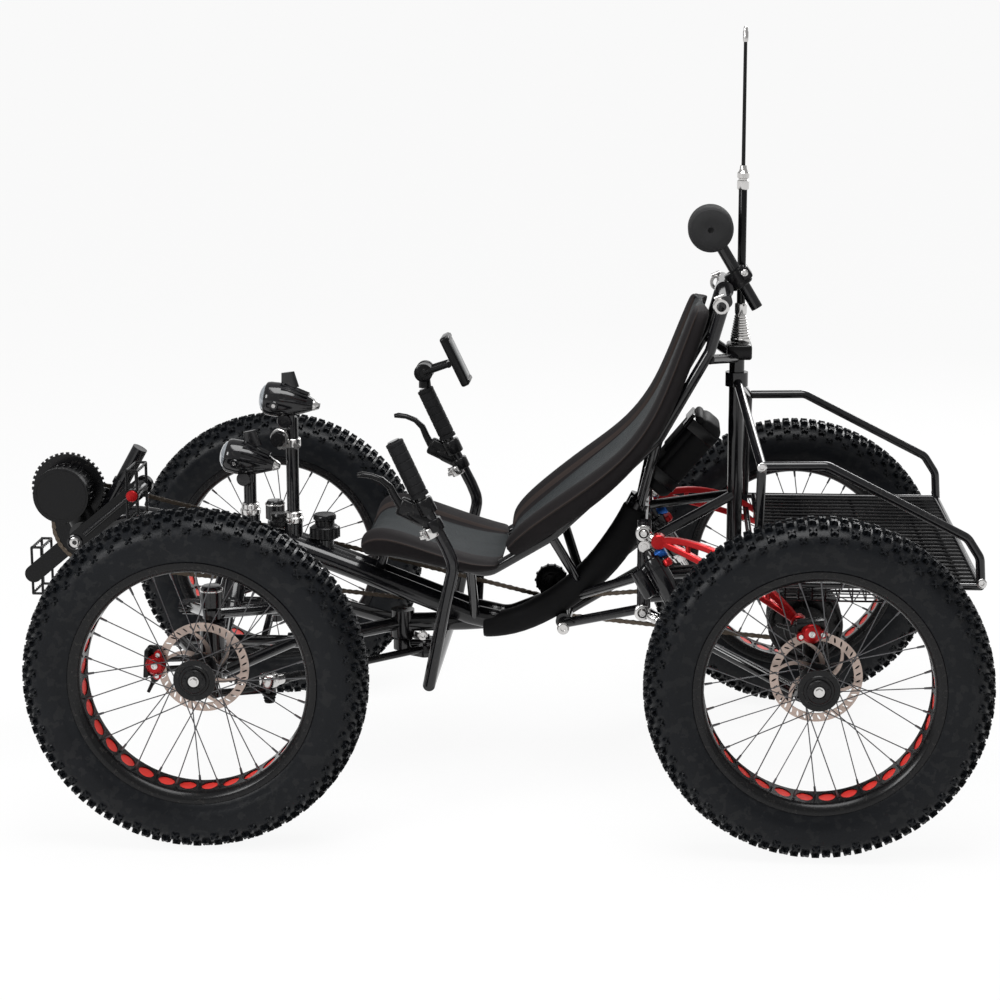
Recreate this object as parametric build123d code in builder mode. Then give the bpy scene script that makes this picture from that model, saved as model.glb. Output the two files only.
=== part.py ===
import math
import os

from build123d import *

# Electric recumbent quadricycle, in millimetres. The vehicle heads along -X, +Y is its right side and
# +Z is up. The origin is on the ground under the middle of its outer box.

# Driving dimensions of the running gear
wheelbase = 1064.0
track = 860.0
tyre_radius = 298.0
tyre_width = 100.0
rim_radius = 214.0
rim_width = 80.0
kingpin_inset = 100.0
kingpin_trail = 10.0

# Clearances shared by all fits
running_clearance = 0.05
seat_clearance = 0.3
disc_clearance = 3.0
overrun = 5.0

# Pedal drive, which also sets how far the vehicle reaches forward of its wheels
crank_length = 170.0
crank_width = 34.0
crank_thickness = 15.0
crank_lean = 40.0
bottom_bracket_share = -0.773
bottom_bracket_height_share = 1.507

half_track = track / 2
crank_reach = crank_length * math.cos(math.radians(crank_lean))
crank_rise = crank_length * math.sin(math.radians(crank_lean))
front_reach = crank_reach + crank_width / 2 - bottom_bracket_share * wheelbase
rear_reach = wheelbase / 2 + tyre_radius
middle_x = (front_reach - rear_reach) / 2
side_names = {"left": -1, "right": 1}


# Each place is a share of the wheelbase from its middle, of the track, and of the tyre radius
def at(x_share, y_share, z_share):
    return Vector(middle_x + x_share * wheelbase, y_share * track, z_share * tyre_radius)


def flipped(point, side):
    return Vector(point.X, side * point.Y, point.Z)


def rod(start, end, diameter, mode=Mode.ADD):
    way = end - start
    with BuildSketch(Plane(origin=start, z_dir=way.normalized())) as section:
        Circle(diameter / 2)
    extrude(section.sketch, amount=way.length, mode=mode)


def cross_rod(centre, length, diameter, mode=Mode.ADD):
    half = Vector(0, length / 2, 0)
    rod(centre - half, centre + half, diameter, mode)


def upright_rod(centre, length, diameter, mode=Mode.ADD):
    half = Vector(0, 0, length / 2)
    rod(centre - half, centre + half, diameter, mode)


def tube(points, diameter, bend_radius):
    with BuildLine() as route:
        FilletPolyline(*points, radius=bend_radius)
    with BuildSketch(Plane(origin=route.line @ 0, z_dir=route.line % 0)) as section:
        Circle(diameter / 2)
    sweep(sections=section.sketch, path=route.line)


def block(centre, length_x, length_y, length_z, mode=Mode.ADD):
    with Locations(centre):
        Box(length_x, length_y, length_z, mode=mode)


def save(shape, name):
    shape.label = name
    export_step(shape, f"parts/{name}.step")


os.makedirs("parts", exist_ok=True)

# Wheels: a fat tyre on a wire wheel, whose rim is laced to a hub that carries the brake rotor. The one built
# here stands at the origin with its outer side towards -Y, and the table places its copies.
tyre_flank = 250.0
tyre_shoulder = 280.0
tyre_facets = 32
shoulder_width = 90.0
crown_width = 46.0
bead_lip = 3.0
lug_height = 6.0
lug_width = 66.0
lug_length = 30.0
rim_depth = 22.0
rim_side_depth = 11.0
well_width = 60.0
spoke_count = 32
spoke_diameter = 2.5
spoke_lead = 60.0
hub_diameter = 40.0
hub_inner_end = 62.0
hub_outer_end = 18.0
inner_flange_place = 46.0
outer_flange_place = 14.0
inner_flange_diameter = 60.0
outer_flange_diameter = 73.0
flange_thickness = 5.0
spoke_hole_inset = 5.0
spindle_diameter = 20.0
hub_cap_diameter = 44.0
hub_cap_length = 8.0
rotor_diameter = 160.0
rotor_thickness = 2.0
rotor_track_width = 16.0
rotor_arm_width = 12.0
rotor_arm_count = 6

bead_width = rim_width - 2 * seat_clearance
# Columns: place across the tyre, distance of its flats from the axle
tyre_outline = [
    (bead_width / 2, rim_radius + bead_lip),
    (tyre_width / 2, tyre_flank),
    (shoulder_width / 2, tyre_shoulder),
    (crown_width / 2, tyre_radius - lug_height),
    (-crown_width / 2, tyre_radius - lug_height),
    (-shoulder_width / 2, tyre_shoulder),
    (-tyre_width / 2, tyre_flank),
    (-bead_width / 2, rim_radius + bead_lip),
]
rim_outline = [
    (rim_width / 2, rim_radius),
    (rim_width / 2, rim_radius - rim_side_depth),
    (well_width / 2, rim_radius - rim_depth),
    (-well_width / 2, rim_radius - rim_depth),
    (-rim_width / 2, rim_radius - rim_side_depth),
    (-rim_width / 2, rim_radius),
]
well_radius = rim_radius - rim_depth

# Wheel sections lie in this plane: their first axis is the wheel's own, outer side positive
wheel_plane = Plane(origin=(0, 0, 0), x_dir=(0, -1, 0), z_dir=(-1, 0, 0))


def on_wheel(outboard, radius, angle):
    turn = math.radians(angle)
    return Vector(radius * math.cos(turn), -outboard, radius * math.sin(turn))


with BuildPart() as tyre:
    for place, flat in tyre_outline:
        with BuildSketch(Plane.XZ.offset(place)):
            RegularPolygon(flat, tyre_facets, major_radius=False, rotation=180 / tyre_facets)
    loft(ruled=True)
    for facet in range(tyre_facets):
        lug_turn = 360 / tyre_facets * facet
        lug_middle = on_wheel(0, tyre_radius - lug_height, lug_turn)
        with Locations(Location(lug_middle, (0, -lug_turn, 0))):
            Box(2 * lug_height, lug_width, lug_length)
    cross_rod(Vector(0, 0, 0), tyre_width + overrun, 2 * rim_radius, Mode.SUBTRACT)

with BuildPart() as wheel:
    with BuildSketch(wheel_plane):
        with BuildLine():
            Polyline(*rim_outline, close=True)
        make_face()
    revolve(axis=Axis.Y)
    rod(on_wheel(-hub_inner_end, 0, 0), on_wheel(hub_outer_end, 0, 0), hub_diameter)
    rod(on_wheel(hub_outer_end, 0, 0), on_wheel(hub_outer_end + hub_cap_length, 0, 0), hub_cap_diameter)
    flanges = ((-inner_flange_place, inner_flange_diameter), (outer_flange_place, outer_flange_diameter))
    for place, diameter in flanges:
        rod(on_wheel(place - flange_thickness / 2, 0, 0), on_wheel(place + flange_thickness / 2, 0, 0), diameter)
    for spoke in range(spoke_count):
        rim_angle = 360 / spoke_count * spoke
        lead = spoke_lead if spoke // 2 % 2 else -spoke_lead
        place = outer_flange_place if spoke % 2 else -inner_flange_place
        flange = outer_flange_diameter if spoke % 2 else inner_flange_diameter
        foot = on_wheel(place, flange / 2 - spoke_hole_inset, rim_angle + lead)
        nipple = on_wheel(0, well_radius + rim_depth / 4, rim_angle)
        with BuildSketch(Plane(origin=foot, z_dir=(nipple - foot).normalized())) as spoke_section:
            Rectangle(spoke_diameter, spoke_diameter)
        extrude(spoke_section.sketch, amount=(nipple - foot).length)
    rotor_start = on_wheel(-hub_inner_end, 0, 0)
    with BuildSketch(Plane(origin=rotor_start, z_dir=(0, 1, 0))) as rotor_face:
        Circle(rotor_diameter / 2)
        Circle(rotor_diameter / 2 - rotor_track_width, mode=Mode.SUBTRACT)
        with PolarLocations(0, rotor_arm_count):
            with Locations((rotor_diameter / 4, 0)):
                Rectangle(rotor_diameter / 2 - rotor_track_width / 2, rotor_arm_width)
        Circle(hub_diameter / 2)
    extrude(rotor_face.sketch, amount=rotor_thickness)
    rod(
        on_wheel(-hub_inner_end - rotor_thickness - overrun, 0, 0),
        on_wheel(hub_outer_end, 0, 0),
        spindle_diameter + 2 * running_clearance,
        Mode.SUBTRACT,
    )

# Columns: name, end of the wheelbase, side
wheel_table = [
    ("front_left", -1, -1),
    ("front_right", -1, 1),
    ("rear_left", 1, -1),
    ("rear_right", 1, 1),
]
for wheel_name, end, side in wheel_table:
    centre = at(end / 2, side / 2, 1)
    for piece, kind in ((tyre.part, "tyre"), (wheel.part, "wheel")):
        sided = piece if side < 0 else mirror(piece, about=Plane.XZ)
        save(Location(centre) * sided, f"{wheel_name}_{kind}")

# Rear half shafts turn with their wheels, from the differential to the hub
differential_length = 136.0
differential_diameter = 118.0
differential_neck = 56.0
drum_left = 48.0
drum_right = 28.0
flange_ring_diameter = 136.0
flange_ring_width = 16.0
sprocket_diameter = 110.0
sprocket_thickness = 4.0
chain_y = 52.0
shaft_start = differential_length / 2 + seat_clearance
shaft_end = half_track + hub_outer_end - seat_clearance
for side_name, side in side_names.items():
    axle = at(0.5, 0, 1)
    with BuildPart() as half_shaft:
        rod(axle + Vector(0, side * shaft_start, 0), axle + Vector(0, side * shaft_end, 0), spindle_diameter)
    save(half_shaft.part, f"rear_{side_name}_half_shaft")

axle = at(0.5, 0, 1)
with BuildPart() as differential:
    cross_rod(axle, differential_length, differential_neck)
    rod(axle - Vector(0, drum_left, 0), axle + Vector(0, drum_right, 0), differential_diameter)
    cross_rod(axle, flange_ring_width, flange_ring_diameter)
    cross_rod(axle + Vector(0, chain_y, 0), sprocket_thickness, sprocket_diameter)
save(differential.part, "differential")

# Front knuckles: a canister round the kingpin, the spindle, a steering arm and a caliper round the rotor
kingpin_diameter = 16.0
knuckle_diameter = 48.0
eye_thickness = 16.0
eye_diameter = 32.0
eye_gap = 4.0
lower_eye_share = 0.906
upper_eye_share = 1.289
canister_height = 40.0
canister_diameter = 40.0
arm_reach = 93.0
arm_inset = 30.0
arm_width = 22.0
arm_thickness = 12.0
arm_height_share = 0.799
caliper_length = 60.0
caliper_width = 38.0
caliper_depth = 34.0

caliper_radius = rotor_diameter / 2
rotor_middle = hub_inner_end + rotor_thickness / 2
rotor_slot = rotor_thickness + 2 * disc_clearance
kingpin_x_share = -0.5 + kingpin_trail / wheelbase
kingpin_y_share = 0.5 - kingpin_inset / track


def caliper(wheel_centre, side, angle):
    centre = wheel_centre + Vector(
        caliper_radius * math.cos(math.radians(angle)),
        -side * rotor_middle,
        caliper_radius * math.sin(math.radians(angle)),
    )
    with Locations(Location(centre, (0, -angle, 0))):
        Box(caliper_depth, caliper_width, caliper_length)
        Box(caliper_depth + overrun, rotor_slot, caliper_length + overrun, mode=Mode.SUBTRACT)
    bridge = centre + Vector(
        caliper_depth / 2 * math.cos(math.radians(angle)),
        0,
        caliper_depth / 2 * math.sin(math.radians(angle)),
    )
    with Locations(Location(bridge, (0, -angle, 0))):
        Box(arm_thickness, caliper_width, caliper_length)


for side_name, side in side_names.items():
    kingpin = flipped(at(kingpin_x_share, kingpin_y_share, 1), side)
    lower_eye = Vector(kingpin.X, kingpin.Y, lower_eye_share * tyre_radius)
    upper_eye = Vector(kingpin.X, kingpin.Y, upper_eye_share * tyre_radius)
    rise = Vector(0, 0, eye_thickness / 2 + eye_gap)
    wheel_centre = at(-0.5, side / 2, 1)
    hub_start = wheel_centre - Vector(0, side * (rotor_middle + caliper_width / 2 + eye_gap), 0)
    arm_start = Vector(kingpin.X, kingpin.Y, arm_height_share * tyre_radius)
    arm_end = arm_start + Vector(arm_reach, -side * arm_inset, 0)
    with BuildPart() as knuckle:
        rod(lower_eye + rise, upper_eye - rise, knuckle_diameter)
        rod(arm_start, upper_eye + rise, kingpin_diameter)
        rod(upper_eye + rise, upper_eye + rise + Vector(0, 0, canister_height), canister_diameter)
        rod(Vector(wheel_centre.X, kingpin.Y, wheel_centre.Z),
            wheel_centre + Vector(0, side * (hub_outer_end - seat_clearance), 0), spindle_diameter)
        with BuildSketch(Plane(origin=arm_start, z_dir=(0, 0, 1))) as arm_face:
            with BuildLine() as arm_line:
                Line((0, 0), (arm_reach, -side * arm_inset))
            trace(arm_line.line, line_width=arm_width)
            Circle(arm_width / 2)
            with Locations((arm_reach, -side * arm_inset)):
                Circle(arm_width / 2)
        extrude(arm_face.sketch, amount=arm_thickness / 2, both=True)
        caliper(wheel_centre, side, 180)
        rod(Vector(kingpin.X, kingpin.Y, wheel_centre.Z),
            wheel_centre + Vector(-caliper_radius - caliper_depth / 2, -side * (rotor_middle + caliper_width / 2), 0),
            arm_width)
    save(knuckle.part, f"front_{side_name}_knuckle")

# Front wishbones: legs from the frame's pivot tubes to an eye round each kingpin
wishbone_diameter = 20.0
pivot_diameter = 18.0
bush_diameter = 28.0
bush_length = 30.0
eye_slab = 24.0
# Columns: front leg's share of the wheelbase, rear leg's, height share at the frame, height share at the eye
wishbone_shares = [
    (-0.585, -0.383, 0.933, lower_eye_share),
    (-0.565, -0.411, 1.138, upper_eye_share),
]
pivot_y_share = 0.151
pivot_overhang = 22.0
shock_seat_diameter = 12.0
shock_seat_length = 90.0
shock_x_share = -0.49
shock_foot_y_share = 0.29
shock_foot_share = 0.925
with BuildPart() as wishbones:
    for side in side_names.values():
        for front_share, rear_share, foot_share, eye_share in wishbone_shares:
            eye = flipped(at(kingpin_x_share, kingpin_y_share, eye_share), side)
            for leg_share in (front_share, rear_share):
                foot = flipped(at(leg_share, pivot_y_share, foot_share), side)
                rod(foot, eye, wishbone_diameter)
                rod(foot - Vector(bush_length / 2, 0, 0), foot + Vector(bush_length / 2, 0, 0), bush_diameter)
                reach = Vector(pivot_overhang, 0, 0)
                rod(foot - reach, foot + reach, pivot_diameter, Mode.SUBTRACT)
            for level in (-1, 1):
                slab = eye + Vector(0, 0, level * (eye_thickness + eye_slab) / 2)
                upright_rod(slab, eye_slab, knuckle_diameter + 2 * eye_gap, Mode.SUBTRACT)
            upright_rod(eye, eye_thickness, eye_diameter)
            upright_rod(eye, eye_thickness * 2, kingpin_diameter + 2 * running_clearance, Mode.SUBTRACT)
        shock_seat = flipped(at(shock_x_share, shock_foot_y_share, shock_foot_share), side)
        seat_reach = Vector(shock_seat_length / 2, 0, 0)
        rod(shock_seat - seat_reach, shock_seat + seat_reach, shock_seat_diameter)
save(wishbones.part, "front_wishbones")

# Boom: from the bottom bracket back to the twin spine, with three accessory sockets and a capped stub tube
boom_diameter = 42.0
boom_bend = 120.0
bracket_shell_diameter = 50.0
bracket_shell_length = 76.0
socket_diameter = 34.0
socket_height = 40.0
socket_sink = 6.0
stub_diameter = 28.6
stub_collar_diameter = 34.0
stub_collar_length = 10.0
stub_collar_share = 0.5
post_diameter = 26.0
spine_diameter = 38.0
spine_bend = 60.0
keel_diameter = 35.0
head_diameter = 44.0
head_height = 52.0
stem_diameter = 16.0
stem_end_gap = 2.0
bottom_bracket = at(bottom_bracket_share, 0, bottom_bracket_height_share)
boom_rear = at(-0.411, 0, 1.45)
steering_head = at(-0.2115, 0, 0.933)
# Columns: share of the wheelbase, height share, capped or open for a post
socket_shares = [
    (-0.48, 1.49),
    (-0.404, 1.44),
    (-0.349, 1.39),
]
# Columns: share of the wheelbase, height share
spine_shares = [
    (-0.411, 1.45),
    (-0.28, 1.279),
    (-0.091, 1.017),
    (-0.023, 0.966),
    (0.047, 1.067),
    (0.106, 1.221),
    (0.162, 1.436),
    (0.209, 1.762),
]
spine_gap = 3.36
spine_y_share = (spine_diameter / 2 + spine_gap) / track
frame_cross_diameter = 15.0
frame_strut_diameter = 26.0
cross_spread_share = 0.045
cross_rise_share = 0.16

with BuildPart() as main_frame:
    tube([bottom_bracket, at(-0.7, 0, 1.611), boom_rear, at(-0.3, 0, 1.3)], boom_diameter, boom_bend)
    cross_rod(bottom_bracket, bracket_shell_length, bracket_shell_diameter)
    cross_rod(bottom_bracket, bracket_shell_length * 2, spindle_diameter + 2 * running_clearance, Mode.SUBTRACT)
    for side in side_names.values():
        tube([flipped(at(x, spine_y_share, z), side) for x, z in spine_shares], spine_diameter, spine_bend)
    tube([steering_head, at(-0.1, 0, 0.95), at(-0.03, 0, 0.97)], keel_diameter, boom_bend)
    upright_rod(steering_head, head_height, head_diameter)
    for x, z in socket_shares:
        upright_rod(at(x, 0, z) + Vector(0, 0, socket_height / 2), socket_height, socket_diameter)
    stub_foot = at(-0.74, 0, 1.62)
    stub_tip = at(-0.674, 0, 2.044)
    stub_way = (stub_tip - stub_foot).normalized()
    stub_collar = stub_foot + (stub_tip - stub_foot) * stub_collar_share
    rod(stub_foot, stub_tip, stub_diameter)
    rod(stub_collar - stub_way * stub_collar_length, stub_collar, stub_collar_diameter)
    # lower front tubes from the steering head to the wishbones' pivots, and the cross tubes between those
    for side in side_names.values():
        for front_share, rear_share, foot_share, eye_share in wishbone_shares:
            front_foot = flipped(at(front_share, pivot_y_share, foot_share), side)
            rear_foot = flipped(at(rear_share, pivot_y_share, foot_share), side)
            reach = Vector(pivot_overhang, 0, 0)
            rod(front_foot - reach, rear_foot + Vector(bush_length, 0, 0), pivot_diameter)
        lower_rear = flipped(at(wishbone_shares[0][1], pivot_y_share, wishbone_shares[0][2]), side)
        lower_rear = lower_rear + Vector(bush_length, 0, 0)
        rod(lower_rear, steering_head, frame_strut_diameter)
    middle_share = (wishbone_shares[0][0] + wishbone_shares[0][1]) / 2
    for spread in (-1, 1):
        cross_share = middle_share + spread * cross_spread_share
        for front_share, rear_share, foot_share, eye_share in wishbone_shares:
            left = at(cross_share, -pivot_y_share, foot_share)
            middle = at(cross_share, 0, foot_share + cross_rise_share)
            rod(left, middle, frame_cross_diameter)
            rod(flipped(left, -1), middle, frame_cross_diameter)
        rod(at(cross_share, 0, wishbone_shares[0][2]), at(cross_share, 0, 1.47), frame_strut_diameter)
    upright_rod(steering_head, head_height + overrun, stem_diameter + 2 * running_clearance, Mode.SUBTRACT)
save(main_frame.part, "main_frame")

# Rear subframe: struts for the trailing arms, triangulated to the pivot tube, the post behind the seat and
# the two rails that carry the differential
subframe_diameter = 25.0
brace_diameter = 18.0
pivot_tube_diameter = 30.0
pivot_tube_length = 92.0
post_tube_diameter = 28.0
strut_x_share = 0.218
strut_y_share = 0.174
rail_y_share = 0.09
rail_height_share = 1.31
post_x_share = 0.374
post_top_share = 2.7
hanger_length = 60.0
hanger_width = 70.0
hanger_height = 40.0
with BuildPart() as rear_subframe:
    cross_rod(at(0.077, 0, 1.0), pivot_tube_length, pivot_tube_diameter)
    cross_rod(at(strut_x_share, 0, 1.2), 2 * strut_y_share * track, brace_diameter)
    cross_rod(at(strut_x_share, 0, 1.66), 2 * strut_y_share * track, brace_diameter)
    cross_rod(at(post_x_share, 0, rail_height_share), 2 * rail_y_share * track, brace_diameter)
    cross_rod(at(0.5, 0, rail_height_share), 2 * rail_y_share * track, brace_diameter)
    for side in side_names.values():
        rod(flipped(at(strut_x_share, strut_y_share, 1.14), side),
            flipped(at(strut_x_share, strut_y_share, 1.74), side), subframe_diameter)
        rod(flipped(at(0.077, 0.045, 0.98), side), flipped(at(strut_x_share, strut_y_share, 1.19), side), brace_diameter)
        rod(flipped(at(0.1, 0.03, 1.15), side), flipped(at(strut_x_share, strut_y_share, 1.4), side), brace_diameter)
        rod(flipped(at(strut_x_share, rail_y_share, 1.2), side),
            flipped(at(0.56, rail_y_share, rail_height_share), side), subframe_diameter)
        rod(flipped(at(strut_x_share, strut_y_share, 1.6), side), at(post_x_share, 0, 1.8), brace_diameter)
    rod(at(post_x_share, 0, rail_height_share), at(post_x_share, 0, post_top_share), post_tube_diameter)
    block(at(0.5, 0, 1.26), hanger_length, hanger_width, hanger_height)
    add(main_frame.part, mode=Mode.SUBTRACT)
    add(differential.part, mode=Mode.SUBTRACT)
save(rear_subframe.part, "rear_subframe")

# Padded wrap round the left spine tube, from the steering head up behind the seat
wrap_depth = 46.0
with BuildPart() as frame_wrap:
    with BuildLine() as wrap_route:
        FilletPolyline(*[at(x, -spine_y_share, z) for x, z in spine_shares[3:7]], radius=spine_bend)
    with BuildSketch(Plane(origin=wrap_route.line @ 0, z_dir=wrap_route.line % 0)) as wrap_section:
        Circle(wrap_depth / 2)
    sweep(sections=wrap_section.sketch, path=wrap_route.line)
    add(main_frame.part, mode=Mode.SUBTRACT)
    add(rear_subframe.part, mode=Mode.SUBTRACT)
save(frame_wrap.part, "frame_wrap")

# Drive motor on the bottom bracket: a finned housing with a round cover, and a toothed ring round it
motor_diameter = 98.0
motor_cover_diameter = 104.0
motor_left = 62.0
motor_right = 44.0
motor_cover_thickness = 14.0
motor_ring_diameter = 140.0
motor_ring_thickness = 4.0
motor_neck = 52.0
motor_axis = at(-0.804, 0, 1.775)
with BuildPart() as motor:
    rod(motor_axis - Vector(0, motor_left - motor_cover_thickness, 0), motor_axis + Vector(0, motor_right, 0),
        motor_diameter)
    rod(motor_axis - Vector(0, motor_left, 0), motor_axis - Vector(0, motor_left - motor_cover_thickness, 0),
        motor_cover_diameter)
    rod(motor_axis, bottom_bracket, motor_neck)
    cross_rod(bottom_bracket, bracket_shell_length + overrun, bracket_shell_diameter, Mode.SUBTRACT)
    add(main_frame.part, mode=Mode.SUBTRACT)
save(motor.part, "drive_motor")
with BuildPart() as motor_ring:
    cross_rod(motor_axis, motor_ring_thickness, motor_ring_diameter)
    cross_rod(motor_axis, motor_ring_thickness + overrun, motor_diameter, Mode.SUBTRACT)
    add(main_frame.part, mode=Mode.SUBTRACT)
    add(motor.part, mode=Mode.SUBTRACT)
save(motor_ring.part, "motor_ring")

# Crankset: spindle, two opposite arms and the chainring on the right; cage pedals hang upright on it
crank_place = 88.0
chainring_diameter = 150.0
chainring_thickness = 4.0
bracket_bore = spindle_diameter + 2 * running_clearance
crank_way = Vector(crank_reach, 0, crank_rise)
pedal_places = {"left": bottom_bracket + crank_way, "right": bottom_bracket - crank_way}
with BuildPart() as crankset:
    cross_rod(bottom_bracket, 2 * crank_place, spindle_diameter)
    rod(bottom_bracket + Vector(0, chain_y - chainring_thickness / 2, 0),
        bottom_bracket + Vector(0, chain_y + chainring_thickness / 2, 0), chainring_diameter)
    for side_name, side in side_names.items():
        eye = pedal_places[side_name]
        with BuildSketch(Plane.XZ.offset(-side * crank_place)) as arm_face:
            with BuildLine() as arm_line:
                Line((bottom_bracket.X, bottom_bracket.Z), (eye.X, eye.Z))
            trace(arm_line.line, line_width=crank_width)
            for joint in (bottom_bracket, eye):
                with Locations((joint.X, joint.Z)):
                    Circle(crank_width / 2)
        extrude(arm_face.sketch, amount=crank_thickness / 2, both=True)
save(crankset.part, "crankset")

pedal_length = 96.0
pedal_width = 80.0
pedal_depth = 26.0
pedal_start = 8.0
pedal_spindle = 14.0
for side_name, side in side_names.items():
    eye = pedal_places[side_name]
    pedal_middle = eye + Vector(0, side * (crank_place + crank_thickness / 2 + pedal_start + pedal_width / 2), 0)
    with BuildPart() as pedal:
        block(pedal_middle, pedal_depth, pedal_width, pedal_length)
        rod(eye + Vector(0, side * (crank_place + crank_thickness / 2 + seat_clearance), 0), pedal_middle,
            pedal_spindle)
    save(pedal.part, f"{side_name}_pedal")

# Chain: a closed loop from the chainring, under the idler, to the differential's sprocket
chain_height = 8.0
chain_width = 6.0
idler_diameter = 60.0
idler_width = 10.0
idler_pin = 10.0
chain_room = chain_height / 2 + seat_clearance
idler = at(0.051, chain_y / track, 1.178)
# Columns: a wheel's centre, the radius of the chain round it, in the side view
ring_wheel = (bottom_bracket, chainring_diameter / 2 + chain_room)
idler_wheel = (idler, idler_diameter / 2 + chain_room)
sprocket_wheel = (axle, sprocket_diameter / 2 + chain_room)


# The heading from a wheel's centre to where its straight run to the next wheel leaves it, on the upper side at
# level 1 and the lower at -1. A crossed run reaches the next wheel on its other side.
def run_heading(first, second, level, crossed):
    way = Vector(second[0].X - first[0].X, 0, second[0].Z - first[0].Z)
    slope = math.degrees(math.atan2(way.Z, way.X))
    reach = first[1] + second[1] if crossed else first[1] - second[1]
    return slope + level * math.degrees(math.acos(reach / way.length))


def touch_point(wheel, heading):
    turn = math.radians(heading)
    return (wheel[0].X + wheel[1] * math.cos(turn), wheel[0].Z + wheel[1] * math.sin(turn))


# The chain's loop with its outer or inner edge this far outside the middle of its links
def chain_loop(extra):
    ring, sprocket = ((wheel[0], wheel[1] + extra) for wheel in (ring_wheel, sprocket_wheel))
    guide = (idler_wheel[0], idler_wheel[1] - extra)
    down = run_heading(ring, guide, 1, True)
    up = run_heading(guide, sprocket, -1, True)
    back = run_heading(ring, sprocket, -1, False)
    Line(touch_point(ring, down), touch_point(guide, down + 180))
    CenterArc(touch_point((guide[0], 0), 0), guide[1], down + 180, up + 180 - down)
    Line(touch_point(guide, up), touch_point(sprocket, up + 180))
    CenterArc(touch_point((sprocket[0], 0), 0), sprocket[1], up + 180, back - up - 180)
    Line(touch_point(sprocket, back), touch_point(ring, back))
    CenterArc(touch_point((ring[0], 0), 0), ring[1], back, down - back - 360)


with BuildPart() as chain:
    with BuildSketch(Plane.XZ.offset(-chain_y)) as chain_face:
        with BuildLine():
            chain_loop(chain_height / 2)
        make_face()
        with BuildLine():
            chain_loop(-chain_height / 2)
        make_face(mode=Mode.SUBTRACT)
    extrude(chain_face.sketch, amount=chain_width / 2, both=True)
save(chain.part, "chain")
with BuildPart() as chain_idler:
    cross_rod(idler, idler_width, idler_diameter)
    rod(at(0.051, spine_y_share, 1.178), idler, idler_pin)
    add(main_frame.part, mode=Mode.SUBTRACT)
save(chain_idler.part, "chain_idler")

# Seat: a pan and a back of mesh between padded bolsters, on a tube frame with a bar at the top
# Columns: share of the wheelbase, height share, all round the side view
pan_shares = [
    (-0.267, 1.638),
    (-0.241, 1.678),
    (-0.122, 1.527),
    (-0.07, 1.466),
    (-0.024, 1.477),
    (-0.024, 1.426),
    (-0.061, 1.406),
    (-0.16, 1.477),
    (-0.271, 1.527),
]
back_shares = [
    (-0.018, 1.493),
    (0.059, 1.829),
    (0.164, 2.265),
    (0.227, 2.517),
    (0.259, 2.752),
    (0.289, 3.06),
    (0.31, 3.094),
    (0.333, 3.037),
    (0.32, 2.832),
    (0.275, 2.446),
    (0.175, 2.007),
    (0.098, 1.779),
    (0.044, 1.604),
    (-0.018, 1.426),
]
pan_width = 350.0
back_width = 380.0
# Columns: height share, share of the back's width
back_taper = [
    (1.39, 0.78),
    (1.64, 0.82),
    (1.9, 1.0),
    (2.27, 0.95),
    (2.75, 0.76),
    (3.12, 0.68),
]

# Columns: share of the wheelbase, height share of the seat frame's side tubes
seat_tube_shares = [
    (-0.25, 1.53),
    (-0.05, 1.385),
    (0.06, 1.62),
    (0.24, 2.23),
    (0.325, 2.77),
    (0.35, 3.085),
]
seat_tube_diameter = 20.0
seat_tube_y_share = 0.15
seat_tube_bend = 40.0
seat_bar_length = 330.0
seat_bar_diameter = 22.0
seat_bar = at(0.35, 0, 3.085)
clamp_diameter = 34.0
clamp_length = 30.0
roller_diameter = 84.0
roller_length = 90.0
headrest_post_diameter = 22.0
roller = at(0.325, 0, 3.463)
post_foot = at(0.407, 0, 2.973)
with BuildPart() as seat_frame:
    rod(post_foot, roller, headrest_post_diameter)
    rod(seat_bar, at(0.373, 0, 3.195), headrest_post_diameter)
    cross_rod(seat_bar, clamp_length, clamp_diameter)
    cross_rod(seat_bar, seat_bar_length, seat_bar_diameter)
    for side in side_names.values():
        tube([flipped(at(x, seat_tube_y_share, z), side) for x, z in seat_tube_shares], seat_tube_diameter, seat_tube_bend)
        rod(flipped(at(-0.08, seat_tube_y_share, 1.4), side), flipped(at(-0.08, spine_y_share, 0.975), side),
            brace_diameter)
        rod(flipped(at(0.06, seat_tube_y_share, 1.61), side), flipped(at(0.106, spine_y_share, 1.221), side),
            brace_diameter)
        rod(flipped(at(0.24, seat_tube_y_share, 2.23), side), flipped(at(0.208, 0.03, 1.72), side), brace_diameter)
        rod(flipped(at(0.325, seat_tube_y_share, 2.72), side), at(post_x_share, 0, 2.66), brace_diameter)
    cross_rod(at(-0.23, 0, 1.53), 2 * seat_tube_y_share * track, brace_diameter)
    rod(at(-0.23, 0, 1.53), at(-0.25, 0, 1.3), brace_diameter)
    add(main_frame.part, mode=Mode.SUBTRACT)
    add(rear_subframe.part, mode=Mode.SUBTRACT)
    add(frame_wrap.part, mode=Mode.SUBTRACT)
save(seat_frame.part, "seat_frame")

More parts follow.
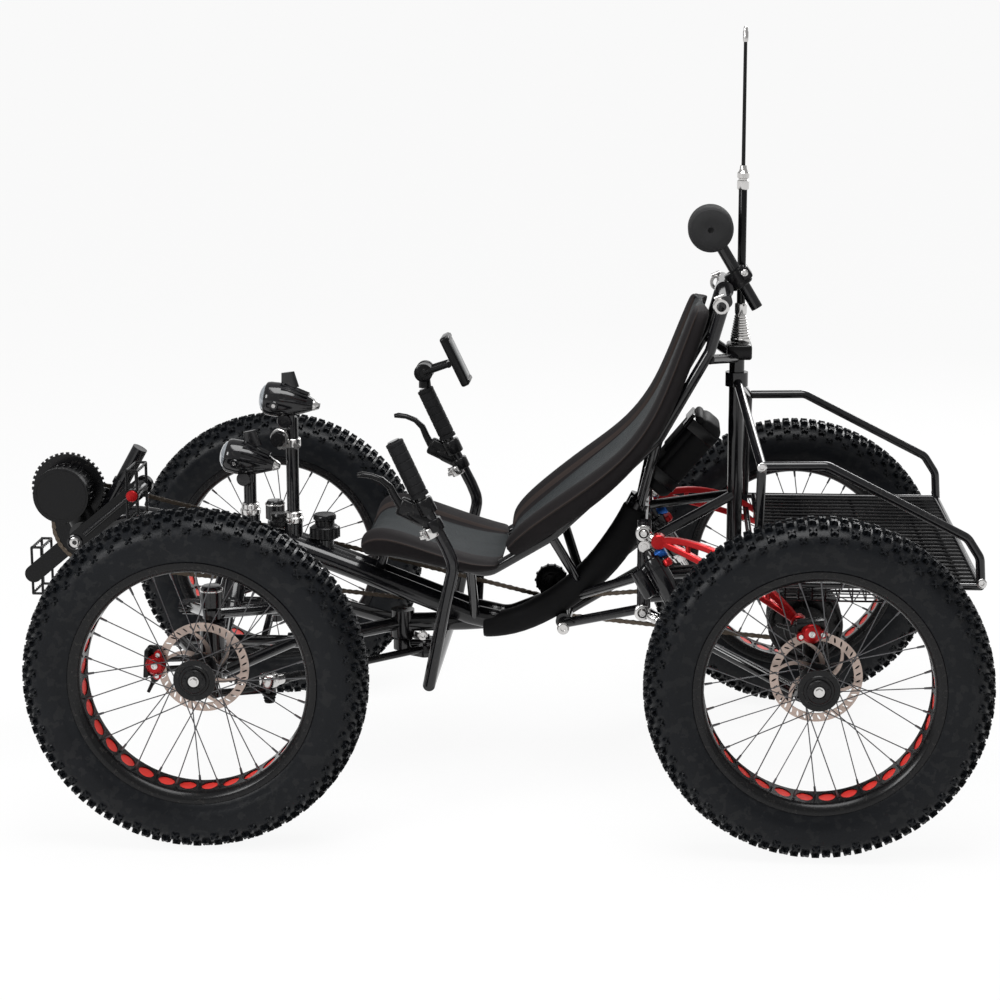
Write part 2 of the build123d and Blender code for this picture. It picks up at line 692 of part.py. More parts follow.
with BuildPart() as seat_pan:
    with BuildSketch(Plane.XZ) as pan_face:
        with BuildLine():
            Polyline(*[(at(x, 0, z).X, at(x, 0, z).Z) for x, z in pan_shares], close=True)
        make_face()
    extrude(amount=pan_width / 2, both=True)
    add(seat_frame.part, mode=Mode.SUBTRACT)
save(seat_pan.part, "seat_pan")
with BuildPart() as seat_back:
    with BuildSketch(Plane.XZ) as back_face:
        with BuildLine():
            Polyline(*[(at(x, 0, z).X, at(x, 0, z).Z) for x, z in back_shares], close=True)
        make_face()
    extrude(amount=back_width / 2, both=True)
    right_edge = [(width_share * back_width / 2, height * tyre_radius) for height, width_share in back_taper]
    left_edge = [(-across, height) for across, height in reversed(right_edge)]
    with BuildSketch(Plane.YZ) as front_view:
        with BuildLine():
            Polyline(*right_edge, *left_edge, close=True)
        make_face()
    extrude(front_view.sketch, amount=wheelbase, both=True, mode=Mode.INTERSECT)
    add(seat_frame.part, mode=Mode.SUBTRACT)
save(seat_back.part, "seat_back")

# Headrest: a foam roller on the post that is clamped to the seat's top bar
with BuildPart() as headrest_roller:
    cross_rod(roller, roller_length, roller_diameter)
    add(seat_frame.part, mode=Mode.SUBTRACT)
save(headrest_roller.part, "headrest_roller")

# Under-seat handlebar: two uprights on a cross tube that turns about the steering head
bar_diameter = 22.2
stem_hub_diameter = 36.0
stem_hub_height = 20.0
bar_bend = 50.0
grip_diameter = 33.0
bar_y_share = 0.302
cross_height_share = 0.795
drop_arm_thickness = 8.0
link_weld = 0.6
link_reach = 44.0
link_spread = 25.0
link_width = 22.0
link_pin_diameter = 8.0
link_pin_length = 24.0
lever_clamp_length = 40.0
lever_clamp_diameter = 36.0
lever_splay_share = 0.02
lever_diameter = 9.0
display_height = 105.0
display_width = 62.0
display_thickness = 14.0
display_stalk_diameter = 16.0
# Columns: share of the wheelbase, height share
upright_shares = [
    (-0.14, 0.795),
    (-0.113, 1.282),
    (-0.097, 1.537),
    (-0.109, 1.644),
    (-0.15, 1.93),
    (-0.196, 2.29),
]
with BuildPart() as handlebar:
    for side in side_names.values():
        tube([flipped(at(x, bar_y_share, z), side) for x, z in upright_shares], bar_diameter, bar_bend)
    cross_rod(at(-0.14, 0, cross_height_share), 2 * bar_y_share * track, bar_diameter)
    hub_place = Vector(steering_head.X, 0, cross_height_share * tyre_radius)
    link_height = hub_place.Z - stem_hub_height / 2 - drop_arm_thickness / 2 + link_weld
    upright_rod(hub_place, stem_hub_height, stem_hub_diameter)
    rod(hub_place, steering_head + Vector(0, 0, head_height / 2 - stem_end_gap), stem_diameter)
    rod(hub_place, at(-0.14, 0, cross_height_share), stem_diameter)
    for side in side_names.values():
        link = Vector(steering_head.X + link_reach, side * link_spread, link_height)
        with BuildSketch(Plane(origin=(0, 0, link.Z), z_dir=(0, 0, 1))) as drop_face:
            with BuildLine() as drop_line:
                Line((hub_place.X, 0), (link.X, link.Y))
            trace(drop_line.line, line_width=link_width)
            with Locations((link.X, link.Y)):
                Circle(link_width / 2)
        extrude(drop_face.sketch, amount=drop_arm_thickness / 2, both=True)
        rod(link, link + Vector(0, 0, link_pin_length), link_pin_diameter)
save(handlebar.part, "handlebar")
with BuildPart() as grips:
    for side in side_names.values():
        start = flipped(at(-0.153, bar_y_share, 1.95), side)
        end = flipped(at(-0.1955, bar_y_share, 2.285), side)
        rod(start, end, grip_diameter)
    add(handlebar.part, mode=Mode.SUBTRACT)
save(grips.part, "grips")
with BuildPart() as brake_levers:
    for side in side_names.values():
        mount = flipped(at(-0.13, bar_y_share, 1.78), side)
        cross_rod(mount, lever_clamp_length, lever_clamp_diameter)
        rod(mount, flipped(at(-0.254, bar_y_share + lever_splay_share, 2.067), side), lever_diameter)
    add(handlebar.part, mode=Mode.SUBTRACT)
save(brake_levers.part, "brake_levers")
with BuildPart() as display:
    display_middle = at(-0.137, bar_y_share, 2.483)
    display_way = at(-0.116, bar_y_share, 2.33) - at(-0.158, bar_y_share, 2.644)
    with Locations(Location(display_middle, (0, math.degrees(math.atan2(-display_way.Z, display_way.X)), 0))):
        Box(display_height, display_width, display_thickness)
    rod(at(-0.196, bar_y_share, 2.29), at(-0.2, bar_y_share, 2.42), display_stalk_diameter)
    rod(at(-0.2, bar_y_share, 2.4), display_middle, display_stalk_diameter)
    add(handlebar.part, mode=Mode.SUBTRACT)
    add(grips.part, mode=Mode.SUBTRACT)
save(display.part, "display")

# Tie rods from the drop arms out to the steering arms
tie_diameter = 14.0
tie_end_diameter = 24.0
tie_end_height = 14.0
for side_name, side in side_names.items():
    kingpin = flipped(at(kingpin_x_share, kingpin_y_share, arm_height_share), side)
    inner = Vector(steering_head.X + link_reach, side * link_spread, link_height)
    inner = inner + Vector(0, 0, drop_arm_thickness / 2 + seat_clearance + tie_end_height / 2)
    outer = kingpin + Vector(arm_reach, -side * arm_inset, 0)
    outer = outer + Vector(0, 0, arm_thickness / 2 + seat_clearance + tie_end_height / 2)
    with BuildPart() as tie_rod:
        rod(inner, outer, tie_diameter)
        upright_rod(inner, tie_end_height, tie_end_diameter)
        upright_rod(outer, tie_end_height, tie_end_diameter)
        for level in (-1, 1):
            for tip in (inner, outer):
                slab = tip + Vector(0, 0, level * (tie_end_height / 2 + eye_slab / 2))
                upright_rod(slab, eye_slab, tie_end_diameter + 2 * overrun, Mode.SUBTRACT)
        upright_rod(inner, tie_end_height * 3, link_pin_diameter + 2 * running_clearance, Mode.SUBTRACT)
    save(tie_rod.part, f"{side_name}_tie_rod")

# Rear running gear: carriers with calipers, trailing arms and shock absorbers
carrier_diameter = 56.0
carrier_length = 34.0
carrier_plate_rise = 24.0
carrier_plate_length = 44.0
carrier_plate_width = 18.0
carrier_plate_height = 150.0
rear_caliper_angle = 97.0
caliper_mount_rise = 92.0
caliper_mount_inner_lead = 8.0
caliper_mount_outer_lead = 10.0
caliper_mount_diameter = 22.0
arm_diameter = 18.0
arm_lead = 30.0
upper_arm_rise = 85.0
upper_arm_bow = 14.0
upper_arm_bend = 80.0
lower_arm_drop = 40.0
shock_diameter = 40.0
front_shock_diameter = 34.0
shock_rod_diameter = 14.0
# Where a shock absorber's foot stands along its arm, then where its spring starts and ends along it
shock_landing_share = 0.35
spring_start_share = 0.25
rear_spring_end_share = 0.8
front_spring_end_share = 0.75
carrier_y = half_track - rotor_middle - caliper_width / 2 - eye_gap - carrier_length / 2
with BuildPart() as rear_carriers:
    for side in side_names.values():
        wheel_centre = at(0.5, side / 2, 1)
        hub = Vector(wheel_centre.X, side * carrier_y, wheel_centre.Z)
        cross_rod(hub, carrier_length, carrier_diameter)
        plate = hub + Vector(0, 0, carrier_plate_rise)
        block(plate, carrier_plate_length, carrier_plate_width, carrier_plate_height)
        caliper(wheel_centre, side, rear_caliper_angle)
        mount_y = half_track - rotor_middle - caliper_width / 2
        mount_height = wheel_centre.Z + caliper_mount_rise
        rod(Vector(wheel_centre.X - caliper_mount_inner_lead, side * carrier_y, mount_height),
            Vector(wheel_centre.X - caliper_mount_outer_lead, side * mount_y, mount_height), caliper_mount_diameter)
        cross_rod(hub, carrier_length * 3, bracket_bore, Mode.SUBTRACT)
save(rear_carriers.part, "rear_carriers")
with BuildPart() as rear_upper_arms:
    for side in side_names.values():
        start = flipped(at(strut_x_share, strut_y_share, 1.66), side)
        end = Vector(at(0.5, 0, 1).X - arm_lead, side * carrier_y, tyre_radius + upper_arm_rise)
        tube([start, (start + end) / 2 + Vector(0, 0, upper_arm_bow), end], arm_diameter, upper_arm_bend)
    add(rear_subframe.part, mode=Mode.SUBTRACT)
    add(rear_carriers.part, mode=Mode.SUBTRACT)
save(rear_upper_arms.part, "rear_upper_arms")
with BuildPart() as rear_lower_arms:
    for side in side_names.values():
        start = flipped(at(strut_x_share, strut_y_share, 1.18), side)
        end = Vector(at(0.5, 0, 1).X - arm_lead, side * carrier_y, tyre_radius - lower_arm_drop)
        rod(start, end, arm_diameter)
    add(rear_subframe.part, mode=Mode.SUBTRACT)
    add(rear_carriers.part, mode=Mode.SUBTRACT)
save(rear_lower_arms.part, "rear_lower_arms")
with BuildPart() as rear_shocks:
    for side in side_names.values():
        start = flipped(at(strut_x_share, strut_y_share, 1.58), side)
        lower_start = flipped(at(strut_x_share, strut_y_share, 1.18), side)
        lower_end = Vector(at(0.5, 0, 1).X - arm_lead, side * carrier_y, tyre_radius - lower_arm_drop)
        end = lower_start + (lower_end - lower_start) * shock_landing_share
        way = end - start
        rod(start, end, shock_rod_diameter)
        rod(start + way * spring_start_share, start + way * rear_spring_end_share, shock_diameter)
    add(rear_subframe.part, mode=Mode.SUBTRACT)
    add(rear_lower_arms.part, mode=Mode.SUBTRACT)
    add(rear_upper_arms.part, mode=Mode.SUBTRACT)
save(rear_shocks.part, "rear_shocks")
with BuildPart() as front_shocks:
    for side in side_names.values():
        start = flipped(at(shock_x_share, 0.02, 1.52), side)
        end = flipped(at(shock_x_share, shock_foot_y_share, shock_foot_share), side)
        way = end - start
        rod(start, end, shock_rod_diameter)
        rod(start + way * spring_start_share, start + way * front_spring_end_share, front_shock_diameter)
    add(main_frame.part, mode=Mode.SUBTRACT)
    add(wishbones.part, mode=Mode.SUBTRACT)
save(front_shocks.part, "front_shocks")

# Rear rack: bent rails over a slatted deck, with a wire basket below
rack_tube_diameter = 16.0
deck_tube_diameter = 12.0
rack_ring_height = 26.0
rack_ring_diameter = 42.0
rack_bend = 25.0
deck_height_share = 1.527
rack_y_share = 0.395
# Columns: share of the wheelbase, height share
rack_rail_shares = [
    (0.407, 2.221),
    (0.512, 2.228),
    (0.739, 1.815),
    (0.76, 1.698),
    (0.763, 1.527),
]
with BuildPart() as rack_frame:
    ring = at(post_x_share, 0, 2.53)
    upright_rod(ring, rack_ring_height, rack_ring_diameter)
    for side in side_names.values():
        tube([flipped(at(x, rack_y_share, z), side) for x, z in rack_rail_shares], rack_tube_diameter, rack_bend)
        front = flipped(at(0.407, rack_y_share, 2.221), side)
        rod(ring, front, rack_tube_diameter)
        corner = flipped(at(0.402, rack_y_share, deck_height_share), side)
        rod(front, corner, rack_tube_diameter)
        rod(corner, flipped(at(0.763, rack_y_share, deck_height_share), side), deck_tube_diameter)
        rod(corner, flipped(at(0.41, rail_y_share, rail_height_share), side), deck_tube_diameter)
    for x in (0.42, 0.763):
        cross_rod(at(x, 0, deck_height_share), 2 * rack_y_share * track, deck_tube_diameter)
    add(rear_subframe.part, mode=Mode.SUBTRACT)
save(rack_frame.part, "rack_frame")
slat_count = 24
slat_diameter = 7.0
slat_sides = 6
deck_drop_share = 0.015
with BuildPart() as rack_deck:
    for slat in range(slat_count):
        slat_y_share = (slat / (slat_count - 1) - 0.5) * 1.82 * rack_y_share
        slat_start = at(0.424, slat_y_share, deck_height_share)
        with BuildSketch(Plane(origin=slat_start, z_dir=(1, 0, 0))) as slat_section:
            RegularPolygon(slat_diameter / 2, slat_sides)
        extrude(slat_section.sketch, amount=at(0.76, 0, 0).X - slat_start.X)
    for x in (0.5, 0.6, 0.7):
        beam_start = at(x, -0.95 * rack_y_share, deck_height_share - deck_drop_share)
        with BuildSketch(Plane(origin=beam_start, z_dir=(0, 1, 0))) as beam_section:
            RegularPolygon(slat_diameter / 2, slat_sides)
        extrude(beam_section.sketch, amount=-2 * beam_start.Y)
    add(rack_frame.part, mode=Mode.SUBTRACT)
save(rack_deck.part, "rack_deck")
basket_wall = 4.0
with BuildPart() as rack_basket:
    basket_low = at(0.45, -0.33, 1.37)
    basket_high = at(0.74, 0.33, deck_height_share - deck_drop_share)
    basket_high = basket_high - Vector(0, 0, slat_diameter / 2 + seat_clearance)
    size = basket_high - basket_low
    block((basket_low + basket_high) / 2, size.X, size.Y, size.Z)
    block((basket_low + basket_high) / 2 + Vector(0, 0, basket_wall), size.X - 2 * basket_wall,
          size.Y - 2 * basket_wall, size.Z, Mode.SUBTRACT)
    add(rack_frame.part, mode=Mode.SUBTRACT)
    add(rear_subframe.part, mode=Mode.SUBTRACT)
save(rack_basket.part, "rack_basket")

# Battery bag strapped to the frame behind the seat, and the sprung antenna on the post
battery_length = 170.0
battery_width = 120.0
battery_depth = 60.0
battery_lean = 50.0
with BuildPart() as battery:
    with Locations(Location(at(0.282, 0, 2.063), (0, -battery_lean, 0))):
        Box(battery_length, battery_width, battery_depth)
    add(seat_frame.part, mode=Mode.SUBTRACT)
    add(rear_subframe.part, mode=Mode.SUBTRACT)
save(battery.part, "battery")
antenna_mount_height = 30.0
antenna_offset = 26.0
antenna_mount_length = 48.0
antenna_mount_width = 62.0
# Columns: length of a stretch from the mount up, its diameter
antenna_stretches = [
    (58.0, 20.0),
    (225.0, 15.0),
    (43.0, 22.0),
    (222.0, 7.0),
    (28.0, 10.0),
]
antenna_foot = at(0.38, 0, 2.7) + Vector(0, antenna_offset, antenna_mount_height / 2)
with BuildPart() as antenna:
    mount_middle = at(0.378, 0, 2.7) + Vector(0, antenna_offset / 2, 0)
    block(mount_middle, antenna_mount_length, antenna_mount_width, antenna_mount_height)
    level = antenna_foot
    for stretch, diameter in antenna_stretches:
        rod(level, level + Vector(0, 0, stretch), diameter)
        level = level + Vector(0, 0, stretch)
    add(rear_subframe.part, mode=Mode.SUBTRACT)
    add(seat_frame.part, mode=Mode.SUBTRACT)
save(antenna.part, "antenna")

# Head lamps, one behind the other on posts in the boom's first two sockets
lamp_post_diameter = 24.0
# Columns: post's share of the wheelbase, its socket's height share, the lamp's place, both shares
lamp_shares = [
    (-0.48, 1.49, -0.482, 1.97),
    (-0.404, 1.44, -0.411, 2.34),
]
lamp_length = 115.0
lamp_width = 60.0
lamp_lean = 15.0
with BuildPart() as head_lamps:
    for post_share, socket_share, lamp_share, lamp_height_share in lamp_shares:
        foot = at(post_share, 0, socket_share) + Vector(0, 0, socket_height)
        middle = at(lamp_share, 0, lamp_height_share)
        rod(foot, Vector(foot.X, 0, middle.Z), lamp_post_diameter)
        with Locations(Location(middle, (0, lamp_lean, 0))):
            Box(lamp_length, lamp_width, lamp_width)
save(head_lamps.part, "head_lamps")
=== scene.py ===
import math
import random

import bmesh
import bpy
from mathutils import Matrix, Vector


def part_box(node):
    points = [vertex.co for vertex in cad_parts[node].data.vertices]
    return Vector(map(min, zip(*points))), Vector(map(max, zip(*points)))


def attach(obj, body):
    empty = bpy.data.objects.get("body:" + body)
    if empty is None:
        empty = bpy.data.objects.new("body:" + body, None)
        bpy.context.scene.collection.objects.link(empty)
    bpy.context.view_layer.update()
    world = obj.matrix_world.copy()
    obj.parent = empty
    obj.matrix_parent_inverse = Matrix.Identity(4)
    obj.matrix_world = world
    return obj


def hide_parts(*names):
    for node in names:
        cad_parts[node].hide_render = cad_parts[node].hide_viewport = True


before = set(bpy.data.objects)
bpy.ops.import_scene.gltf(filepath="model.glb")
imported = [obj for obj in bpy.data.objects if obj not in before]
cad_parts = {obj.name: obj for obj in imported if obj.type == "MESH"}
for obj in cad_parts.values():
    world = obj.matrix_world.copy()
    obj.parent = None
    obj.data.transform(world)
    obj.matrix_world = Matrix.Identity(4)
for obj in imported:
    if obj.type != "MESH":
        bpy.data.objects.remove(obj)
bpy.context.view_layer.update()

# The viewpoint: a long lens at eye height, level with the seat and off the left side. Its aim is held by the lens
# shift, as the photograph was cropped off its middle.
eye = Vector((0.3356, -4.1762, 1.4906))
heading, dip, roll = math.radians(-2.508), math.radians(10.816), math.radians(0.195)
ahead = Vector((math.sin(heading) * math.cos(dip), math.cos(heading) * math.cos(dip), -math.sin(dip)))
right = ahead.cross(Vector((0, 0, 1))).normalized()
above = right.cross(ahead)
right, above = right * math.cos(roll) + above * math.sin(roll), above * math.cos(roll) - right * math.sin(roll)
lens = bpy.data.cameras.new("viewpoint")
lens.sensor_width = 36
lens.lens = 82.53
lens.shift_x, lens.shift_y = -0.0659, -0.0905
camera = bpy.data.objects.new("viewpoint", lens)
camera.matrix_world = Matrix.Translation(eye) @ Matrix((right, above, -ahead)).transposed().to_4x4()
bpy.context.collection.objects.link(camera)
bpy.context.scene.camera = camera
bpy.context.scene.view_settings.view_transform = "Standard"

# The studio: a pale floor that runs up into a backdrop, a broad soft light overhead and one from the front left,
# and a white surround that gloss reflects.
class Strand:
    """A value in a shader, which takes part in sums as a number does."""

    def __init__(self, tree, socket):
        self.tree = tree
        self.socket = socket

    def node(self, kind, settings, inputs, output=0):
        made = self.tree.nodes.new(kind)
        for name, value in settings.items():
            setattr(made, name, value)
        for name, value in inputs.items():
            if isinstance(value, Strand):
                self.tree.links.new(value.socket, made.inputs[name])
            else:
                made.inputs[name].default_value = value
        return Strand(self.tree, made.outputs[output])

    def maths(self, operation, *others):
        return self.node("ShaderNodeMath", {"operation": operation}, dict(enumerate((self, *others))))

    def __add__(self, other):
        return self.maths("ADD", other)

    __radd__ = __add__

    def __sub__(self, other):
        return self.maths("SUBTRACT", other)

    def __mul__(self, other):
        return self.maths("MULTIPLY", other)

    __rmul__ = __mul__

    def __gt__(self, other):
        return self.maths("GREATER_THAN", other)

    def __lt__(self, other):
        return self.maths("LESS_THAN", other)

    def wave(self):
        return self.maths("SINE") * 0.5 + 0.5

    def split(self):
        return [self.node("ShaderNodeSeparateXYZ", {}, {0: self}, output) for output in range(3)]

    def mottle(self, scale, detail=3.0):
        return self.node("ShaderNodeTexNoise", {}, {"Vector": self, "Scale": scale, "Detail": detail})

    def between(self, dark, light):
        """A colour that runs from dark to light as this value goes from 0 to 1."""
        return self.node("ShaderNodeMix", {"data_type": "RGBA"}, {0: self, 6: (*dark, 1), 7: (*light, 1)}, 2)

    def over(self, under, top):
        """The top colour where this value is 1, and the one under it elsewhere."""
        return self.node("ShaderNodeMix", {"data_type": "RGBA"}, {0: self, 6: under, 7: top}, 2)

    def relief(self, depth):
        return self.node("ShaderNodeBump", {}, {"Height": self, "Distance": depth, "Strength": 1.0})


def new_material(name):
    """A material, the place on the piece that its patterns read, and its main shader."""
    material = bpy.data.materials.new(name)
    material.use_nodes = True
    shader = material.node_tree.nodes["Principled BSDF"]
    place = material.node_tree.nodes.new("ShaderNodeTexCoord").outputs["Object"]
    return material, Strand(material.node_tree, place), shader


def feed(strand, shader, name):
    strand.tree.links.new(strand.socket, shader.inputs[name])


def pale_ground(name, glow_share=0.92):
    material, place, shader = new_material(name)
    tree = material.node_tree
    shader.inputs["Roughness"].default_value = 0.9
    shader.inputs["Base Color"].default_value = (0.84, 0.84, 0.84, 1)
    shader.inputs["Emission Color"].default_value = (1, 1, 1, 1)
    rays = tree.nodes.new("ShaderNodeLightPath")
    seen = Strand(tree, rays.outputs["Is Camera Ray"]).maths("MAXIMUM", Strand(tree, rays.outputs["Is Glossy Ray"]))
    glow = tree.nodes.new("ShaderNodeEmission")
    glow.inputs["Strength"].default_value = 1.0
    keep = tree.nodes.new("ShaderNodeMixShader")
    tree.links.new((seen * glow_share).socket, keep.inputs[0])
    tree.links.new(shader.outputs[0], keep.inputs[1])
    tree.links.new(glow.outputs[0], keep.inputs[2])
    tree.links.new(keep.outputs[0], tree.nodes["Material Output"].inputs["Surface"])
    return material


ground = bmesh.new()
bmesh.ops.create_grid(ground, x_segments=1, y_segments=1, size=1)
bmesh.ops.scale(ground, vec=(40, 30, 1), verts=ground.verts)
bmesh.ops.translate(ground, vec=(0, 10, 0), verts=ground.verts)
far_edge = [edge for edge in ground.edges if all(vert.co.y > 30 for vert in edge.verts)]
curve_steps, curve_start, curve_radius = 8, 40, 20
for step in range(1, curve_steps + 1):
    raised = bmesh.ops.extrude_edge_only(ground, edges=far_edge)["geom"]
    turn = math.radians(90) * step / curve_steps
    for vert in (item for item in raised if isinstance(item, bmesh.types.BMVert)):
        vert.co.y = curve_start + curve_radius * math.sin(turn)
        vert.co.z = curve_radius * (1 - math.cos(turn))
    far_edge = [item for item in raised if isinstance(item, bmesh.types.BMEdge)]
floor_mesh = bpy.data.meshes.new("studio_floor")
ground.to_mesh(floor_mesh)
ground.free()
floor = bpy.data.objects.new("studio_floor", floor_mesh)
floor_mesh.materials.append(pale_ground("pale_floor"))
floor_mesh.shade_smooth()
bpy.context.collection.objects.link(floor)

surround = bpy.data.worlds.new("surround")
surround.use_nodes = True
bpy.context.scene.world = surround
surround.node_tree.nodes["Background"].inputs["Color"].default_value = (1, 1, 1, 1)
surround.node_tree.nodes["Background"].inputs["Strength"].default_value = 0.42
# Columns: name, place, size, watts, aim
light_table = [
    ("overhead", (0.2, -0.8, 3.6), 2.2, 110, (0, 0, 0.4)),
    ("front_left", (-2.8, -3.2, 2.4), 1.4, 85, (0, 0, 0.5)),
    ("behind", (1.6, 3.4, 2.6), 1.6, 70, (0, 0, 0.6)),
]
for name, place, size, watts, aim in light_table:
    light = bpy.data.lights.new(name, "AREA")
    light.size = size
    light.energy = watts
    holder = bpy.data.objects.new(name, light)
    holder.location = place
    holder.rotation_euler = (Vector(aim) - Vector(place)).to_track_quat("-Z", "Y").to_euler()
    bpy.context.collection.objects.link(holder)


# Finishes that many pieces share: a base tint with blotches, a fine grain that catches the light, and a roughness
# that wanders a little, as handled and dusty metal and plastic have.
def plain_finish(name, tint, rough, metal=0.0, coat=0.0, blotch=0.25, grain=900.0, depth=0.00004, dust=0.0,
                 shine=0.5):
    material, place, shader = new_material(name)
    patches = place.mottle(9.0, 4.0)
    fine = place.mottle(grain, 2.0)
    colour = patches.between([channel * (1 - blotch) for channel in tint],
                             [channel * (1 + blotch) for channel in tint])
    if dust:
        specks = place.mottle(160.0, 5.0) > 0.62
        colour = (specks * dust).over(colour, (0.32, 0.29, 0.26, 1))
    feed(colour, shader, "Base Color")
    feed(rough * 0.75 + patches * (rough * 0.5), shader, "Roughness")
    feed(fine.relief(depth), shader, "Normal")
    shader.inputs["Metallic"].default_value = metal
    shader.inputs["Coat Weight"].default_value = coat
    shader.inputs["Coat Roughness"].default_value = 0.08
    shader.inputs["Specular IOR Level"].default_value = shine
    return material


gloss_black = plain_finish("gloss_black_paint", (0.004, 0.004, 0.005), 0.13, grain=60.0, depth=0.0001, dust=0.03)
satin_black = plain_finish("satin_black_metal", (0.004, 0.004, 0.0045), 0.24, depth=0.00002, dust=0.03, shine=0.25)
black_plastic = plain_finish("black_plastic", (0.003, 0.003, 0.0034), 0.24, depth=0.00003, shine=0.22)
bright_steel = plain_finish("bright_steel", (0.62, 0.61, 0.6), 0.2, metal=1.0, blotch=0.12)
red_alloy = plain_finish("red_anodised", (0.40, 0.006, 0.008), 0.28, metal=0.6)
soft_rubber = plain_finish("soft_rubber", (0.008, 0.008, 0.008), 0.6, grain=1500.0, depth=0.00015, shine=0.15)


def dress(finish, *names):
    """Gives carried-over CAD nodes their finish."""
    for name in names:
        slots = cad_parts[name].data.materials
        slots.clear()
        slots.append(finish)


def piece_from(bm, name, body, *finishes, smooth=40):
    """Closes a mesh under way into a finished piece that rides on a body."""
    mesh = bpy.data.meshes.new(name)
    bm.to_mesh(mesh)
    bm.free()
    for finish in finishes:
        mesh.materials.append(finish)
    mesh.shade_smooth()
    mesh.set_sharp_from_angle(angle=math.radians(smooth))
    piece = bpy.data.objects.new(name, mesh)
    bpy.context.collection.objects.link(piece)
    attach(piece, body)
    return piece


# Tyres: fat moulded rubber with smooth bulging sidewalls and a shallow moulded line, and rows of small cross-shaped
# knobs round the crown and shoulders. All four are alike, so one is shaped and set at each wheel.
tyre_rubber, rubber_place, rubber_shader = new_material("tyre_rubber")
rubber_patches = rubber_place.mottle(14.0, 5.0)
rubber_dust = rubber_place.mottle(70.0, 6.0)
dusty = (rubber_dust > 0.56) * rubber_patches * 0.22
rubber_tint = rubber_patches.between((0.0028, 0.0034, 0.0045), (0.0062, 0.0072, 0.0092))
feed(dusty.over(rubber_tint, (0.045, 0.044, 0.042, 1)), rubber_shader, "Base Color")
feed(rubber_patches * 0.2 + 0.26, rubber_shader, "Roughness")
feed((rubber_place.mottle(420.0, 3.0) + rubber_dust * 2.0).relief(0.0003), rubber_shader, "Normal")
rubber_shader.inputs["Specular IOR Level"].default_value = 0.17


def spun(bm, outline, steps, closed=True):
    """Turns an outline of (across, radius) points round the wheel's axle, outer side towards -Y."""
    verts = [bm.verts.new((radius, -out, 0)) for out, radius in outline]
    edges = [bm.edges.new(pair) for pair in zip(verts, verts[1:])]
    if closed:
        edges.append(bm.edges.new((verts[-1], verts[0])))
    bmesh.ops.spin(bm, geom=verts + edges, cent=(0, 0, 0), axis=(0, 1, 0), angle=math.tau, steps=steps,
                   use_merge=True)
    return bm


tyre_half_width, tyre_middle, tyre_bulge, knob_height = 0.0490, 0.2525, 0.0385, 0.006
tyre_reach, tyre_radius = 0.0498, 0.2978
# Columns: turn steps that carry the row, places across, half reach of a knob's arms
tread_rows = [
    (0, (-0.0120, 0.0120), 0.0100),
    (1, (-0.0255, 0.0, 0.0255), 0.0100),
    (0, (-0.0370, 0.0370), 0.0102),
    (1, (-0.0460, 0.0460), 0.0100),
]
knob_rounds = 100


def carcass_radius(out):
    return tyre_middle + tyre_bulge * max(0.0, 1 - abs(out / tyre_half_width) ** 2.3) ** (1 / 2.3)


tyre_bm = bmesh.new()
outline = [(0.036, 0.209), (0.0385, 0.2145), (0.0415, 0.2185), (0.0415, 0.221), (0.0455, 0.2285), (0.0485, 0.2395)]
outline += [(out, carcass_radius(out)) for out in (0.0489, 0.0480, 0.0455, 0.041, 0.034, 0.024, 0.012)]
outline = outline + [(0.0, carcass_radius(0))] + [(-out, radius) for out, radius in reversed(outline)]
spun(tyre_bm, outline, 144)
for turn_step in range(knob_rounds):
    angle = math.tau * turn_step / knob_rounds
    for row, places, size in tread_rows:
        if turn_step % 2 != row:
            continue
        for out in places:
            radius = carcass_radius(out)
            slope = math.atan2(carcass_radius(abs(out) + 0.001) - carcass_radius(abs(out) - 0.001), 0.002)
            tilt = -slope if out > 0 else slope
            stand = Matrix.Rotation(angle, 4, "Y") @ Matrix.Translation((radius + 0.001, -out, 0))
            stand = stand @ Matrix.Rotation(-tilt, 4, "Z") @ Matrix.Rotation(math.radians(45), 4, "X")
            knob_arm = Matrix.Diagonal((knob_height * 2.0, size * 0.50, size * 1.75, 1))
            for turned_arm in (0, 90):
                made = bmesh.ops.create_cube(tyre_bm, size=1, matrix=knob_arm)["verts"]
                for vert in made:
                    if vert.co.x > 0:
                        vert.co.y *= 0.6
                        vert.co.z *= 0.8
                bmesh.ops.transform(tyre_bm, verts=made,
                                    matrix=stand @ Matrix.Rotation(math.radians(turned_arm), 4, "X"))
for vert in tyre_bm.verts:
    vert.co.y = max(-tyre_reach, min(tyre_reach, vert.co.y))
    vert.co *= min(1.0, tyre_radius / vert.co.length)
bmesh.ops.recalc_face_normals(tyre_bm, faces=tyre_bm.faces)
wheel_sides = {"front_left": -1, "front_right": 1, "rear_left": -1, "rear_right": 1}


def wheel_copy(bm, kind, wheel, finishes, smooth=40):
    """One wheel's copy of a piece that was shaped round the origin with its outer side towards -Y."""
    low, high = (Vector(corner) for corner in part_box(f"{wheel}_tyre"))
    made = bm.copy()
    if wheel_sides[wheel] > 0:
        bmesh.ops.scale(made, vec=(1, -1, 1), verts=made.verts)
        bmesh.ops.reverse_faces(made, faces=made.faces)
    bmesh.ops.translate(made, vec=(low + high) / 2, verts=made.verts)
    return piece_from(made, f"{wheel}_{kind}", f"{wheel}_wheel", *finishes, smooth=smooth)


for wheel in wheel_sides:
    tyre = wheel_copy(tyre_bm, "moulded_tyre", wheel, [tyre_rubber])
    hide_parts(f"{wheel}_tyre")
tyre_bm.free()

